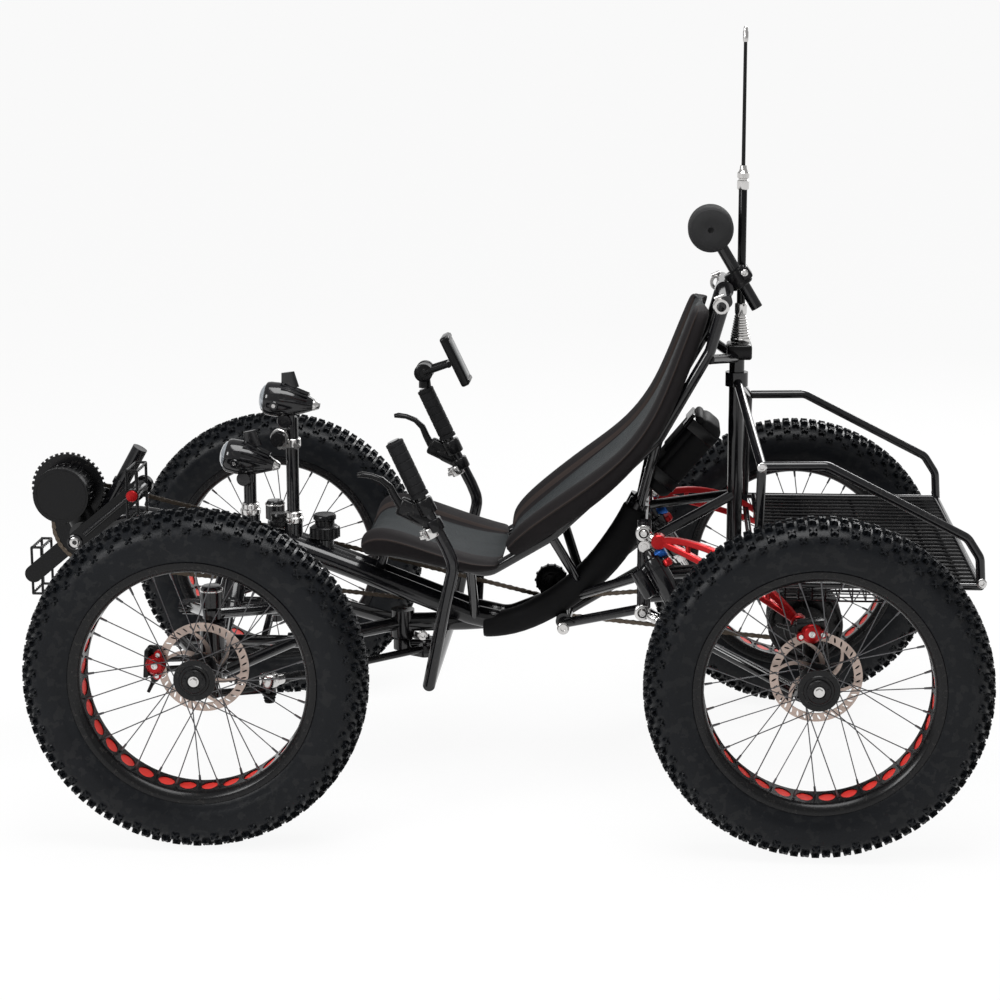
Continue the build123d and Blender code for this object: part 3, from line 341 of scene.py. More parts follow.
# Rims: black extruded alloy, 80 mm wide, with a hooked edge and a row of round windows in the inner band between the
# spokes. The bright red strip under the tyre shows through the windows.
window_count, window_radius, band_radius, band_half = 32, 0.0145, 0.1942, 0.027
red_strip, strip_place, strip_shader = new_material("red_rim_strip")
strip_weave = strip_place.mottle(1300.0, 2.0)
feed(strip_place.mottle(25.0).between((0.72, 0.020, 0.014), (0.86, 0.05, 0.035)), strip_shader, "Base Color")
feed(strip_weave * 0.2 + 0.42, strip_shader, "Roughness")
feed(strip_weave.relief(0.0001), strip_shader, "Normal")


def windowed_band(bm, count, radius, half, hole, squeeze=1.0, slant=0.0, flat=False, stretch=1.0):
    """A band of panels, each with one hole, bent round the axle, or kept flat as a ring in the wheel's plane."""
    pitch = math.tau * radius / count
    for number in range(count):
        loops = []
        for outer in (False, True):
            made = bmesh.ops.create_circle(bm, segments=16, radius=hole)["verts"]
            for vert in made:
                if outer:
                    reach = max(abs(vert.co.x), abs(vert.co.y))
                    vert.co = Vector((vert.co.x / reach * pitch / 2, vert.co.y / reach * half, 0))
                else:
                    vert.co.x *= squeeze
                    vert.co.y *= stretch
                    vert.co = Matrix.Rotation(slant, 4, "Z") @ vert.co
            loops.append(made)
        edges = {edge for loop in loops for vert in loop for edge in vert.link_edges}
        bmesh.ops.bridge_loops(bm, edges=list(edges))
        for vert in loops[0] + loops[1]:
            angle = (number + 0.5) * math.tau / count + vert.co.x / radius
            out, distance = (0.0, radius + vert.co.y) if flat else (vert.co.y, radius)
            vert.co = Vector((distance * math.cos(angle), -out, distance * math.sin(angle)))
    bmesh.ops.remove_doubles(bm, verts=bm.verts, dist=0.00005)
    bmesh.ops.recalc_face_normals(bm, faces=bm.faces)
    return bm


rim_bm = windowed_band(bmesh.new(), window_count, band_radius, band_half, window_radius, stretch=1.3)
bmesh.ops.solidify(rim_bm, geom=rim_bm.faces, thickness=-0.0022)
for side in (-1, 1):
    edge = [(0.0268, 0.1942), (0.0300, 0.1948), (0.0340, 0.1972), (0.0385, 0.2025), (0.0398, 0.2050),
            (0.0398, 0.2132), (0.0385, 0.2142), (0.0368, 0.2135), (0.0362, 0.2070), (0.0320, 0.1992),
            (0.0268, 0.1964)]
    spun(rim_bm, [(side * out, radius) for out, radius in edge], 128)
bmesh.ops.recalc_face_normals(rim_bm, faces=rim_bm.faces)
strip_bm = spun(bmesh.new(), [(-0.0266, 0.1968), (0.0266, 0.1968), (0.0266, 0.1978), (-0.0266, 0.1978)], 96)
bmesh.ops.recalc_face_normals(strip_bm, faces=strip_bm.faces)

# Spokes: 32 dark butted steel spokes to a wheel, laced from the two hub flanges in three crosses, each with its
# elbow in the flange and a nipple at the rim.
spoke_steel = plain_finish("dark_spoke_steel", (0.10, 0.10, 0.105), 0.3, metal=1.0, blotch=0.15)


def shift(x, y, z):
    """A step in millimetres, as a step in the frame."""
    return Vector((x, y, z)) / 1000


def rod_between(bm, start, end, radius, tip=None, sides=8):
    """A straight round bar from start to end, tapered where it has a tip radius. Its radii are in millimetres."""
    start, end = Vector(start), Vector(end)
    way = end - start
    stand = Matrix.Translation((start + end) / 2) @ way.to_track_quat("Z", "Y").to_matrix().to_4x4()
    bmesh.ops.create_cone(bm, cap_ends=True, segments=sides, radius1=radius / 1000,
                          radius2=(radius if tip is None else tip) / 1000, depth=way.length, matrix=stand)
    return bm


spoke_bm = bmesh.new()
spoke_lead, nipple_radius, nipple_length = math.radians(60), 0.1925, 0.013
for spoke in range(window_count):
    rim_angle = math.tau / window_count * spoke
    lead = spoke_lead if spoke // 2 % 2 else -spoke_lead
    out, hole_radius = (0.014, 0.0315) if spoke % 2 else (-0.046, 0.025)
    foot = Vector((hole_radius * math.cos(rim_angle + lead), -out, hole_radius * math.sin(rim_angle + lead)))
    rim_out = 0.011 if spoke % 2 else -0.011
    head = Vector((nipple_radius * math.cos(rim_angle), -rim_out, nipple_radius * math.sin(rim_angle)))
    nipple = head + (foot - head).normalized() * nipple_length
    rod_between(spoke_bm, foot, nipple, 1.05, sides=6)
    rod_between(spoke_bm, nipple, head, 1.9, 2.4, sides=6)
    bmesh.ops.create_icosphere(spoke_bm, subdivisions=1, radius=0.0021, matrix=Matrix.Translation(foot))


def round_axle(middle, radius, count, start=0.0):
    """The angle and place of each step round an axle across the vehicle, with the radius in millimetres."""
    for number in range(count):
        angle = math.tau * number / count + start
        yield angle, middle + shift(radius * math.cos(angle), 0, radius * math.sin(angle))


# Hubs: black turned alloy with two spoke flanges, a stepped round cap that is bare, and a bright axle bolt with
# its washer in the middle.
hub_outline = [(0.0225, 0.0), (0.0225, 0.0105), (0.0245, 0.0115), (0.0245, 0.0195), (0.0232, 0.021),
               (0.0185, 0.0215), (0.0182, 0.0255), (0.0168, 0.0268), (0.0165, 0.0362), (0.0117, 0.0362),
               (0.0112, 0.027), (0.006, 0.0215), (-0.002, 0.0192), (-0.034, 0.0192), (-0.042, 0.0225),
               (-0.0435, 0.0295), (-0.0485, 0.0295), (-0.0488, 0.0245), (-0.0535, 0.0215), (-0.0618, 0.0215),
               (-0.0618, 0.011)]
hub_bm = spun(bmesh.new(), hub_outline, 64, closed=False)
bmesh.ops.remove_doubles(hub_bm, verts=hub_bm.verts, dist=0.00005)
for angle, seat in round_axle(shift(0, -24.2, 0), 15.5, 5, start=0.3):
    rod_between(hub_bm, seat, seat - shift(0, 1.8, 0), 2.1, 1.8, sides=12)
bmesh.ops.recalc_face_normals(hub_bm, faces=hub_bm.faces)
axle_bm = bmesh.new()
rod_between(axle_bm, (0, -0.0222, 0), (0, -0.0236, 0), 9.2, sides=24)
rod_between(axle_bm, (0, -0.0236, 0), (0, -0.0282, 0), 6.8, 6.4, sides=6)

# Brake rotors: 160 mm steel discs with a slotted braking track on six curved arms, bolted to the hub's inner end.
rotor_steel = plain_finish("rotor_steel", (0.50, 0.40, 0.35), 0.33, metal=0.9, blotch=0.25, grain=2200.0,
                           depth=0.00003)
rotor_bm = windowed_band(bmesh.new(), 36, 0.0725, 0.0075, 0.0052, squeeze=0.32, slant=math.radians(-28), flat=True)
rotor_arms, arm_sweep = 6, 0.85
for arm in range(rotor_arms):
    made = bmesh.ops.create_grid(rotor_bm, x_segments=10, y_segments=1, size=0.5)["verts"]
    for vert in made:
        along_arm, over = vert.co.x + 0.5, vert.co.y
        distance = 0.020 + along_arm * 0.046
        angle = math.tau * arm / rotor_arms + along_arm * arm_sweep + over * (0.011 - 0.004 * along_arm) / distance
        vert.co = Vector((distance * math.cos(angle), 0, distance * math.sin(angle)))
windowed_band(rotor_bm, rotor_arms, 0.0205, 0.0050, 0.0026, flat=True)
bmesh.ops.recalc_face_normals(rotor_bm, faces=rotor_bm.faces)
bmesh.ops.solidify(rotor_bm, geom=rotor_bm.faces, thickness=0.0018)
bmesh.ops.translate(rotor_bm, vec=(0, 0.0638, 0), verts=rotor_bm.verts)
bmesh.ops.recalc_face_normals(rotor_bm, faces=rotor_bm.faces)
for angle, seat in round_axle(shift(0, 61.8, 0), 20.5, rotor_arms, start=math.pi / rotor_arms):
    rod_between(rotor_bm, seat, seat - shift(0, 2.2, 0), 3.6, sides=10)

wheel_pieces = [
    ("rim", rim_bm, satin_black, "black_aluminium"),
    ("rim_strip", strip_bm, red_strip, "red_aluminium"),
    ("spokes", spoke_bm, spoke_steel, "wheel_metal"),
    ("hub", hub_bm, satin_black, "black_aluminium"),
    ("axle_bolt", axle_bm, bright_steel, "steel"),
    ("rotor", rotor_bm, rotor_steel, "steel"),
]
for wheel in wheel_sides:
    for kind, bm, finish, slot in wheel_pieces:
        piece = wheel_copy(bm, kind, wheel, [finish], smooth=35)
        if kind == "rim":
            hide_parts(f"{wheel}_wheel")
for kind, bm, finish, slot in wheel_pieces:
    bm.free()

# Frame: welded steel tube, boom, twin spine, wishbones and subframe, all in deep gloss black paint with a little
# road dust, and satin black on the turned and plated parts.
dress(gloss_black, "main_frame", "rear_subframe", "front_wishbones", "seat_frame", "handlebar", "rack_frame")
dress(satin_black, "rear_carriers", "front_left_knuckle", "front_right_knuckle", "left_tie_rod", "right_tie_rod")
dress(satin_black, "differential", "rear_left_half_shaft", "rear_right_half_shaft", "rack_deck")
dress(black_plastic, "crankset", "drive_motor", "display", "brake_levers", "head_lamps", "antenna", "chain_idler")
dress(red_alloy, "rear_upper_arms")
dress(gloss_black, "rear_lower_arms")
dress(bright_steel, "motor_ring")
wheelbase_middle, half_wheelbase, axle_height, chain_side = 69.85, 532, 298, 52


def put(x, y, z):
    """A place in millimetres, measured from the middle of the wheelbase, as a place in the frame."""
    return shift(x + wheelbase_middle, y, z)


# Seat: a sling of slate mesh stretched between fat padded bolsters of black neoprene, sewn up in two covers, one for
# the pan and one for the back. The bolsters swell past the mesh and carry piping and a seam along their middle.
neoprene, neoprene_place, neoprene_shader = new_material("seat_cloth")
cloth_map = neoprene_place.node("ShaderNodeUVMap", {"uv_map": "cloth"}, {})
across_cloth, along_cloth = cloth_map.split()[:2]
from_middle = (across_cloth - 0.5).maths("ABSOLUTE")
is_mesh = from_middle < 0.285
weave = (across_cloth * 900.0).wave() * (along_cloth * 2600.0).wave()
knit = neoprene_place.mottle(1400.0, 2.0)
worn = neoprene_place.mottle(16.0, 5.0)
mesh_tint = weave.between((0.014, 0.017, 0.0185), (0.044, 0.051, 0.055))
pad_tint = worn.between((0.0055, 0.0046, 0.005), (0.0125, 0.0105, 0.0112))
# The piping and the seam are real lines on the cover, but their lighter brown colour is a painted highlight along
# them.
seam_lines_with_painted_highlight = ((from_middle - 0.323).maths("ABSOLUTE") < 0.010).maths("MAXIMUM", from_middle > 0.504)
seat_tint = is_mesh.over(pad_tint, mesh_tint)
feed(seam_lines_with_painted_highlight.over(seat_tint, (0.026, 0.019, 0.017, 1)), neoprene_shader, "Base Color")
feed(worn * 0.2 + 0.62 - is_mesh * 0.14, neoprene_shader, "Roughness")
feed((knit * 0.4 + is_mesh * weave + worn * 2.5).relief(0.0007), neoprene_shader, "Normal")
neoprene_shader.inputs["Specular IOR Level"].default_value = 0.12
neoprene_shader.inputs["Sheen Weight"].default_value = 0.02
neoprene_shader.inputs["Sheen Roughness"].default_value = 0.5

# Columns: across, share of the half thickness, all round one cut through the seat. Between the bolsters the rise is
# the station's own mesh level, which sags a little to the middle.
bolster_cut = [(1.0, 0.0), (1.0, 0.40), (1.04, 0.47), (0.98, 0.54), (0.94, 0.85), (0.86, 1.0), (0.775, 0.97),
               (0.70, 0.78), (0.668, 0.70), (0.645, 0.60), (0.62, 0.25)]
mesh_places = [0.565, 0.54, 0.36, 0.18]
under_cut = [(0.99, -0.5), (0.94, -0.88), (0.86, -1.0), (0.775, -0.92), (0.69, -0.6), (0.60, -0.35), (0.30, -0.35)]
# Columns: crest of the bolsters, x and z, underside's x and z, half width, mesh level, all in millimetres but the last
pan_stations = [
    (-287, 458, -284, 446, 140, 0.0),
    (-284, 478, -272, 444, 158, 0.2),
    (-268, 494, -255, 444, 168, 0.4),
    (-238, 498, -228, 446, 172, 0.3),
    (-190, 484, -190, 440, 174, 0.1),
    (-130, 462, -132, 426, 175, 0.0),
    (-74, 444, -78, 416, 172, 0.1),
    (-42, 438, -42, 419, 160, 0.2),
    (-28, 434, -28, 424, 148, 0.2),
]
back_stations = [
    (-24, 456, -12, 436, 138, 0.2),
    (-20, 476, 4, 447, 150, 0.1),
    (8, 508, 42, 472, 158, 0.05),
    (60, 550, 97, 512, 172, 0.2),
    (118, 593, 152, 553, 187, 0.35),
    (182, 640, 218, 618, 184, 0.4),
    (224, 690, 261, 676, 172, 0.45),
    (254, 744, 288, 730, 160, 0.45),
    (284, 824, 320, 814, 145, 0.45),
    (308, 886, 344, 884, 134, 0.5),
    (316, 902, 346, 898, 122, 0.5),
]


def ring_joined(bm, edges, previous):
    """Skins the ring before to this one, or closes this one where it is the first."""
    if previous:
        bmesh.ops.bridge_loops(bm, edges=edges + previous)
    else:
        bmesh.ops.contextual_create(bm, geom=edges)
    return edges


def padded_cover(name, stations, node):
    """Sweeps the seat's cut through the stations and closes it at both ends."""
    bm = bmesh.new()
    cloth_spots = {}
    previous = None
    for number, (top_x, top_z, low_x, low_z, half, mesh_level) in enumerate(stations):
        middle = put((top_x + low_x) / 2, 0, (top_z + low_z) / 2)
        lift = shift(top_x - low_x, 0, top_z - low_z) / 2
        mesh_cut = [(place, mesh_level - 0.12 * (1 - (place / 0.565) ** 2)) for place in mesh_places]
        right_top = bolster_cut + mesh_cut + [(0.0, mesh_level - 0.12)]
        left_top = [(-across, rise) for across, rise in reversed(right_top[:-1])]
        left_low = [(-across, rise) for across, rise in under_cut]
        right_low = [(across, rise) for across, rise in reversed(under_cut)]
        ring = []
        for across_share, rise in right_top + left_top + left_low + right_low:
            vert = bm.verts.new(middle + lift * rise + shift(0, across_share * half, 0))
            cloth_spots[vert] = (across_share / 2 + 0.5, number * 0.055)
            ring.append(vert)
        edges = [bm.edges.new((vert, ring[place - 1])) for place, vert in enumerate(ring)]
        previous = ring_joined(bm, edges, previous)
    bmesh.ops.contextual_create(bm, geom=previous)
    bmesh.ops.recalc_face_normals(bm, faces=bm.faces)
    cloth = bm.loops.layers.uv.new("cloth")
    for face in bm.faces:
        for loop in face.loops:
            loop[cloth].uv = cloth_spots[loop.vert]
    cover = piece_from(bm, name, "chassis", neoprene, smooth=180)
    rounding = cover.modifiers.new("rounding", "SUBSURF")
    rounding.levels = rounding.render_levels = 2
    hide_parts(node)
    return cover


padded_cover("seat_pan_cover", pan_stations, "seat_pan")
padded_cover("seat_back_cover", back_stations, "seat_back")

# Headrest: a roller of closed-cell foam with rounded ends, pushed onto a cross tube at the top of its post.
foam, foam_place, foam_shader = new_material("black_foam")
cells = foam_place.mottle(1100.0, 4.0)
feed(foam_place.mottle(20.0).between((0.004, 0.004, 0.0045), (0.010, 0.010, 0.011)), foam_shader, "Base Color")
feed(cells * 0.2 + 0.75, foam_shader, "Roughness")
feed(cells.relief(0.0012), foam_shader, "Normal")


def turned(bm, start, end, outline, sides=32):
    """Turns (along, radius) points, in millimetres from the start, round the line from start towards end."""
    start, end = Vector(start), Vector(end)
    fresh = [bm.verts.new((max(radius / 1000, 0.00001), 0, along / 1000)) for along, radius in outline]
    edges = [bm.edges.new(pair) for pair in zip(fresh, fresh[1:])]
    before = set(bm.verts)
    bmesh.ops.spin(bm, geom=fresh + edges, cent=(0, 0, 0), axis=(0, 0, 1), angle=math.tau, steps=sides,
                   use_merge=True)
    verts = fresh + [vert for vert in bm.verts if vert not in before]
    stand = Matrix.Translation(start) @ (end - start).to_track_quat("Z", "Y").to_matrix().to_4x4()
    bmesh.ops.transform(bm, matrix=stand, verts=verts)
    faces = list({face for vert in verts for face in vert.link_faces})
    bmesh.ops.remove_doubles(bm, verts=verts, dist=0.00003)
    bmesh.ops.recalc_face_normals(bm, faces=[face for face in faces if face.is_valid])
    return bm


roller_bm = turned(bmesh.new(), put(346, -45, 1032), put(346, 45, 1032), [
    (7, 0), (5.5, 4.5), (1, 6), (0, 18), (0, 29), (3.5, 37.5), (10, 40.8), (25, 41.7),
    (65, 41.7), (80, 40.8), (86.5, 37.5), (90, 29), (90, 18), (89, 6),
    (84.5, 4.5), (83, 0)], sides=56)
roller = piece_from(roller_bm, "foam_roller", "chassis", foam)
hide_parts("headrest_roller")

# Hand grips: moulded rubber sleeves with rings of square blocks, a collar at the lower end and a flat end cap. The
# levers below them are cast alloy on band clamps, with the bodies of the hydraulic cylinders.
block_rubber, block_place, block_shader = new_material("grip_rubber")
feed(block_place.mottle(30.0).between((0.004, 0.004, 0.0045), (0.010, 0.010, 0.011)), block_shader, "Base Color")
block_shader.inputs["Specular IOR Level"].default_value = 0.2
feed(block_place.mottle(60.0) * 0.3 + 0.45, block_shader, "Roughness")
feed(block_place.mottle(1600.0).relief(0.0002), block_shader, "Normal")
bar_side, grip_rings = 259.7, 6
both_sides = ((-1, "left"), (1, "right"))


def rounded_block(bm, stand, size, rounding, segments):
    """A block with rounded edges, its size and rounding in millimetres, on its stand."""
    diagonal = Matrix.Diagonal((*shift(*size), 1))
    made = bmesh.ops.create_cube(bm, size=1, matrix=stand @ diagonal)["verts"]
    bmesh.ops.bevel(bm, geom=list({edge for vert in made for edge in vert.link_edges}), offset=rounding / 1000,
                    segments=segments, profile=0.5, affect="EDGES", material=-1)


for side, side_name in both_sides:
    low, high = put(-162, side * bar_side, 583), put(-207, side * bar_side, 680)
    length = (high - low).length * 1000
    rings = [(0, 12.5), (0, 16.8), (6, 16.8), (6.5, 15.2), (8.5, 15.2)]
    for ring in range(grip_rings):
        start = 9.5 + ring * (length - 16) / grip_rings
        stop = start + (length - 16) / grip_rings - 1.2
        rings += [(start, 15.5), (start + 0.6, 16.2), (stop - 0.6, 16.2), (stop, 15.5)]
    rings += [(length - 5, 16.5), (length - 1.2, 16.5), (length, 15), (length, 0)]
    grip_bm = turned(bmesh.new(), low, high, rings, sides=48)
    grip = piece_from(grip_bm, f"{side_name}_grip", "steering", block_rubber)
    if side < 0:
        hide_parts("grips")
    lever_bm = bmesh.new()
    way = (high - low).normalized()
    turned(lever_bm, low - way * 0.034, low - way * 0.006,
           [(0, 11.2), (0, 16.5), (2, 17.8), (26, 17.8), (28, 16.5), (28, 11.2)])
    turned(lever_bm, low - way * 0.068, low - way * 0.046,
           [(0, 11.2), (0, 15.5), (1.5, 16.5), (20.5, 16.5), (22, 15.5), (22, 11.2)])
    body = put(-172, side * 262, 545)
    turned(lever_bm, body + shift(30, 0, -12), body + shift(-22, 0, 16),
           [(0, 0), (0, 9), (4, 12.5), (30, 13.5), (46, 11.5), (52, 8.5), (56, 4), (58, 0)], sides=20)
    rounded_block(lever_bm, Matrix.Translation(body + shift(-4, 0, 12)) @ Matrix.Rotation(math.radians(25), 4, "Y"),
                  (52, 22, 34), 6, 3)
    # Columns: x, z, half width of the blade, half depth
    blade = [(-180, 552, 9, 9), (-196, 566, 8, 8), (-206, 584, 7, 7), (-214, 602, 7, 6.5), (-228, 615, 7, 5.5),
             (-246, 622, 7, 5), (-262, 624, 7.5, 5.5), (-270, 623, 5, 4)]
    previous = None
    for place, (x, z, wide, deep) in enumerate(blade):
        ahead_x, ahead_z = blade[min(place + 1, len(blade) - 1)][:2]
        back_x, back_z = blade[max(place - 1, 0)][:2]
        lean = math.atan2(ahead_z - back_z, ahead_x - back_x)
        ring = bmesh.ops.create_circle(lever_bm, segments=12, radius=1,
                                       matrix=Matrix.Translation(put(x, side * (262 + (z - 552) * 0.16), z))
                                       @ Matrix.Rotation(-lean, 4, "Y") @ Matrix.Rotation(math.radians(90), 4, "Y")
                                       @ Matrix.Diagonal((deep / 1000, wide / 1000, 1, 1)))["verts"]
        edges = list({edge for vert in ring for edge in vert.link_edges})
        previous = ring_joined(lever_bm, edges, previous)
    bmesh.ops.contextual_create(lever_bm, geom=previous)
    bmesh.ops.recalc_face_normals(lever_bm, faces=lever_bm.faces)
    lever = piece_from(lever_bm, f"{side_name}_lever", "steering", satin_black)
    if side < 0:
        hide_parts("brake_levers")
    clamp_bm = turned(bmesh.new(), put(-138, side * bar_side, 511), put(-147, side * bar_side, 527),
                      [(0, 11.2), (0, 15.2), (1, 16), (17.5, 16), (18.5, 15.2), (18.5, 11.2)], sides=40)
    ear = put(-158, side * bar_side, 512)
    for up in (-4.5, 4.5):
        rod_between(clamp_bm, ear + shift(9, 0, up + 4), ear + shift(-4, 0, up), 4.2, sides=16)
    clamp = piece_from(clamp_bm, f"{side_name}_bar_clamp", "steering", bright_steel)

# Drive motor: a cast housing with cooling ribs round it and a flat round cover, whose raised band is left bare, and
# a toothed lock ring. It hangs on the bottom bracket, and the crank and the chainring turn in it.
motor = put(-855.5, 0, 529)
fin_count, cover_bolts, ring_teeth = 28, 7, 40
motor_bm = bmesh.new()
turned(motor_bm, motor + shift(0, -47.2, 0), motor + shift(0, -62, 0),
       [(0, 0), (0, 50), (2, 51.5), (7.5, 51.5), (8.5, 50), (12.5, 49.2), (14, 47), (14, 44), (13.2, 43.2),
        (13.2, 0)], sides=72)
rounded_block(motor_bm, Matrix.Translation(motor + shift(0, -60.8, 0)) @ Matrix.Rotation(math.radians(28), 4, "Y"),
              (20, 2.2, 74), 0.9, 2)
for angle, spot in round_axle(motor + shift(0, -24.5, 0), 49.7, fin_count):
    rounded_block(motor_bm, Matrix.Translation(spot) @ Matrix.Rotation(-angle, 4, "Y"), (4.2, 38, 3.4), 0.7, 1)
for angle, spot in round_axle(motor + shift(0, -60.8, 0), 46.2, cover_bolts, start=math.pi / cover_bolts):
    rod_between(motor_bm, spot, spot + shift(0, -2.2, 0), 2.6, sides=12)
for inner, outer, height in ((40.5, 41.8, 1), (45.2, 48.2, 2.2)):
    turned(motor_bm, motor + shift(0, -60.4, 0), motor + shift(0, -70, 0),
           [(0, inner - 0.6), (height, inner), (height, outer), (0, outer + 0.6), (0, inner - 0.6)], sides=80)
motor_piece = piece_from(motor_bm, "motor_cover", "chassis", black_plastic)
ring_bm = turned(bmesh.new(), motor + shift(0, -2.8, 0), motor + shift(0, 2.8, 0),
                 [(0, 49.5), (0, 65.5), (1.2, 66.5), (4.4, 66.5), (5.6, 65.5), (5.6, 49.5)], sides=80)
for angle, spot in round_axle(motor, 67.5, ring_teeth):
    bmesh.ops.create_cube(ring_bm, size=1, matrix=Matrix.Translation(spot) @ Matrix.Rotation(-angle, 4, "Y")
                          @ Matrix.Diagonal((0.0050, 0.0050, 0.0056, 1)))
motor_ring_piece = piece_from(ring_bm, "toothed_ring", "chassis", satin_black)
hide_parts("motor_ring")

# Cranks: forged black arms with a rounded ridge, a steel bolt at the spindle and a red dust cap at the pedal eye; the
# chainring has a narrow toothed rim on five arms. Pedals are cages of bent plate round a spindle.
bracket, cage_teeth = put(-822.5, 0, 449.1), 7
near_eye, far_eye = bracket + shift(130.2, 0, 109.3), bracket - shift(130.2, 0, 109.3)
crank_bm = bmesh.new()
for side, eye_place in ((-1, near_eye), (1, far_eye)):
    face = shift(0, side * 95.5, 0)
    turned(crank_bm, bracket + face, bracket + face * 1.035,
           [(0, 13.5), (1, 14.5), (2.5, 14.5), (3.3, 12.8), (2, 10.5), (2, 0)])
    way = (eye_place - bracket).normalized()
    ridge_start, ridge_end = bracket + face + way * 0.024, eye_place + face - way * 0.024
    rod_between(crank_bm, ridge_start, ridge_end, 5.2, 4.2, sides=12)
    turned(crank_bm, eye_place + face, eye_place + face * 1.02, [(0, 12.5), (1.8, 11.5), (1.8, 9), (0, 8.5)])
crank_piece = piece_from(crank_bm, "crank_trim", "cranks", gloss_black)
bolt_bm = bmesh.new()
for side in (-1, 1):
    face = shift(0, side * 96.2, 0)
    turned(bolt_bm, bracket + face, bracket + face * 1.03,
           [(0, 9.8), (1.8, 9.5), (2.4, 8.5), (2.4, 4.5), (0.8, 4), (0.8, 0)], sides=24)
bolt_piece = piece_from(bolt_bm, "crank_bolts", "cranks", bright_steel)
cap_bm = turned(bmesh.new(), near_eye + shift(0, -181.5, 0), near_eye + shift(0, -186, 0),
                [(0, 0), (0, 10.5), (2.8, 10.5), (4, 9.5), (4.4, 6), (4.4, 0)])
cap_piece = piece_from(cap_bm, "red_dust_cap", "left_pedal", red_alloy)
for side, side_name, eye_place in ((-1, "left", near_eye), (1, "right", far_eye)):
    pedal_bm = bmesh.new()
    eye_level = Vector((eye_place.x, 0, eye_place.z))
    inner_y, outer_y = side * 104.5, side * 182
    turned(pedal_bm, eye_level + shift(0, side * 96.5, 0), eye_level + shift(0, outer_y, 0),
           [(0, 6.8), (7, 6.8), (7.5, 12.5), (20, 12.5), (28, 9.5), (60, 9.5), (70, 12), (84.5, 12), (85.5, 8),
            (85.5, 0)], sides=24)
    for y in (inner_y + side * 2, outer_y - side * 2):
        for up in (-1, 1):
            start = eye_level + shift(0, y, up * 11)
            frame_low, frame_high = start - shift(0, 0, up * 2), start + shift(0, 0, up * 35.2)
            for edge_x in (-9.5, 9.5):
                edge = shift(edge_x, 0, 0)
                rod_between(pedal_bm, frame_low + edge, frame_high + edge, 2.6, sides=10)
            for level in (frame_low, frame_high):
                rod_between(pedal_bm, level - shift(10.5, 0, 0), level + shift(10.5, 0, 0), 2.6, sides=10)
    for up in (-1, 1):
        for edge_x in (-9.5, 9.5):
            level = eye_level + shift(edge_x, 0, up * 46.2)
            rod_between(pedal_bm, level + shift(0, inner_y, 0), level + shift(0, outer_y, 0), 1.8, sides=10)
            for tooth in range(cage_teeth):
                spot = level + shift(0, inner_y + (outer_y - inner_y) * (tooth + 0.5) / cage_teeth, 0)
                rod_between(pedal_bm, spot - shift(0, 0, up * 4), spot + shift(0, 0, up * 1.6), 2.1, 0.8)
    pedal = piece_from(pedal_bm, f"{side_name}_cage_pedal", f"{side_name}_pedal", satin_black)
    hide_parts(f"{side_name}_pedal")

# Head lamps: two streamlined black housings, each with a domed lens in front, a fin on top, ribs along the back half
# and a bright tip at its tail. Each sits on a swivel over its post, which stands in a chromed socket.
lens_glass, lens_place, lens_shader = new_material("lens_glass")
feed(lens_place.mottle(60.0).between((0.20, 0.22, 0.24), (0.42, 0.45, 0.48)), lens_shader, "Base Color")
feed(lens_place.mottle(40.0) * 0.06 + 0.04, lens_shader, "Roughness")
feed(lens_place.mottle(220.0).relief(0.0002), lens_shader, "Normal")
lens_shader.inputs["Metallic"].default_value = 0.5
lens_shader.inputs["Coat Weight"].default_value = 1.0
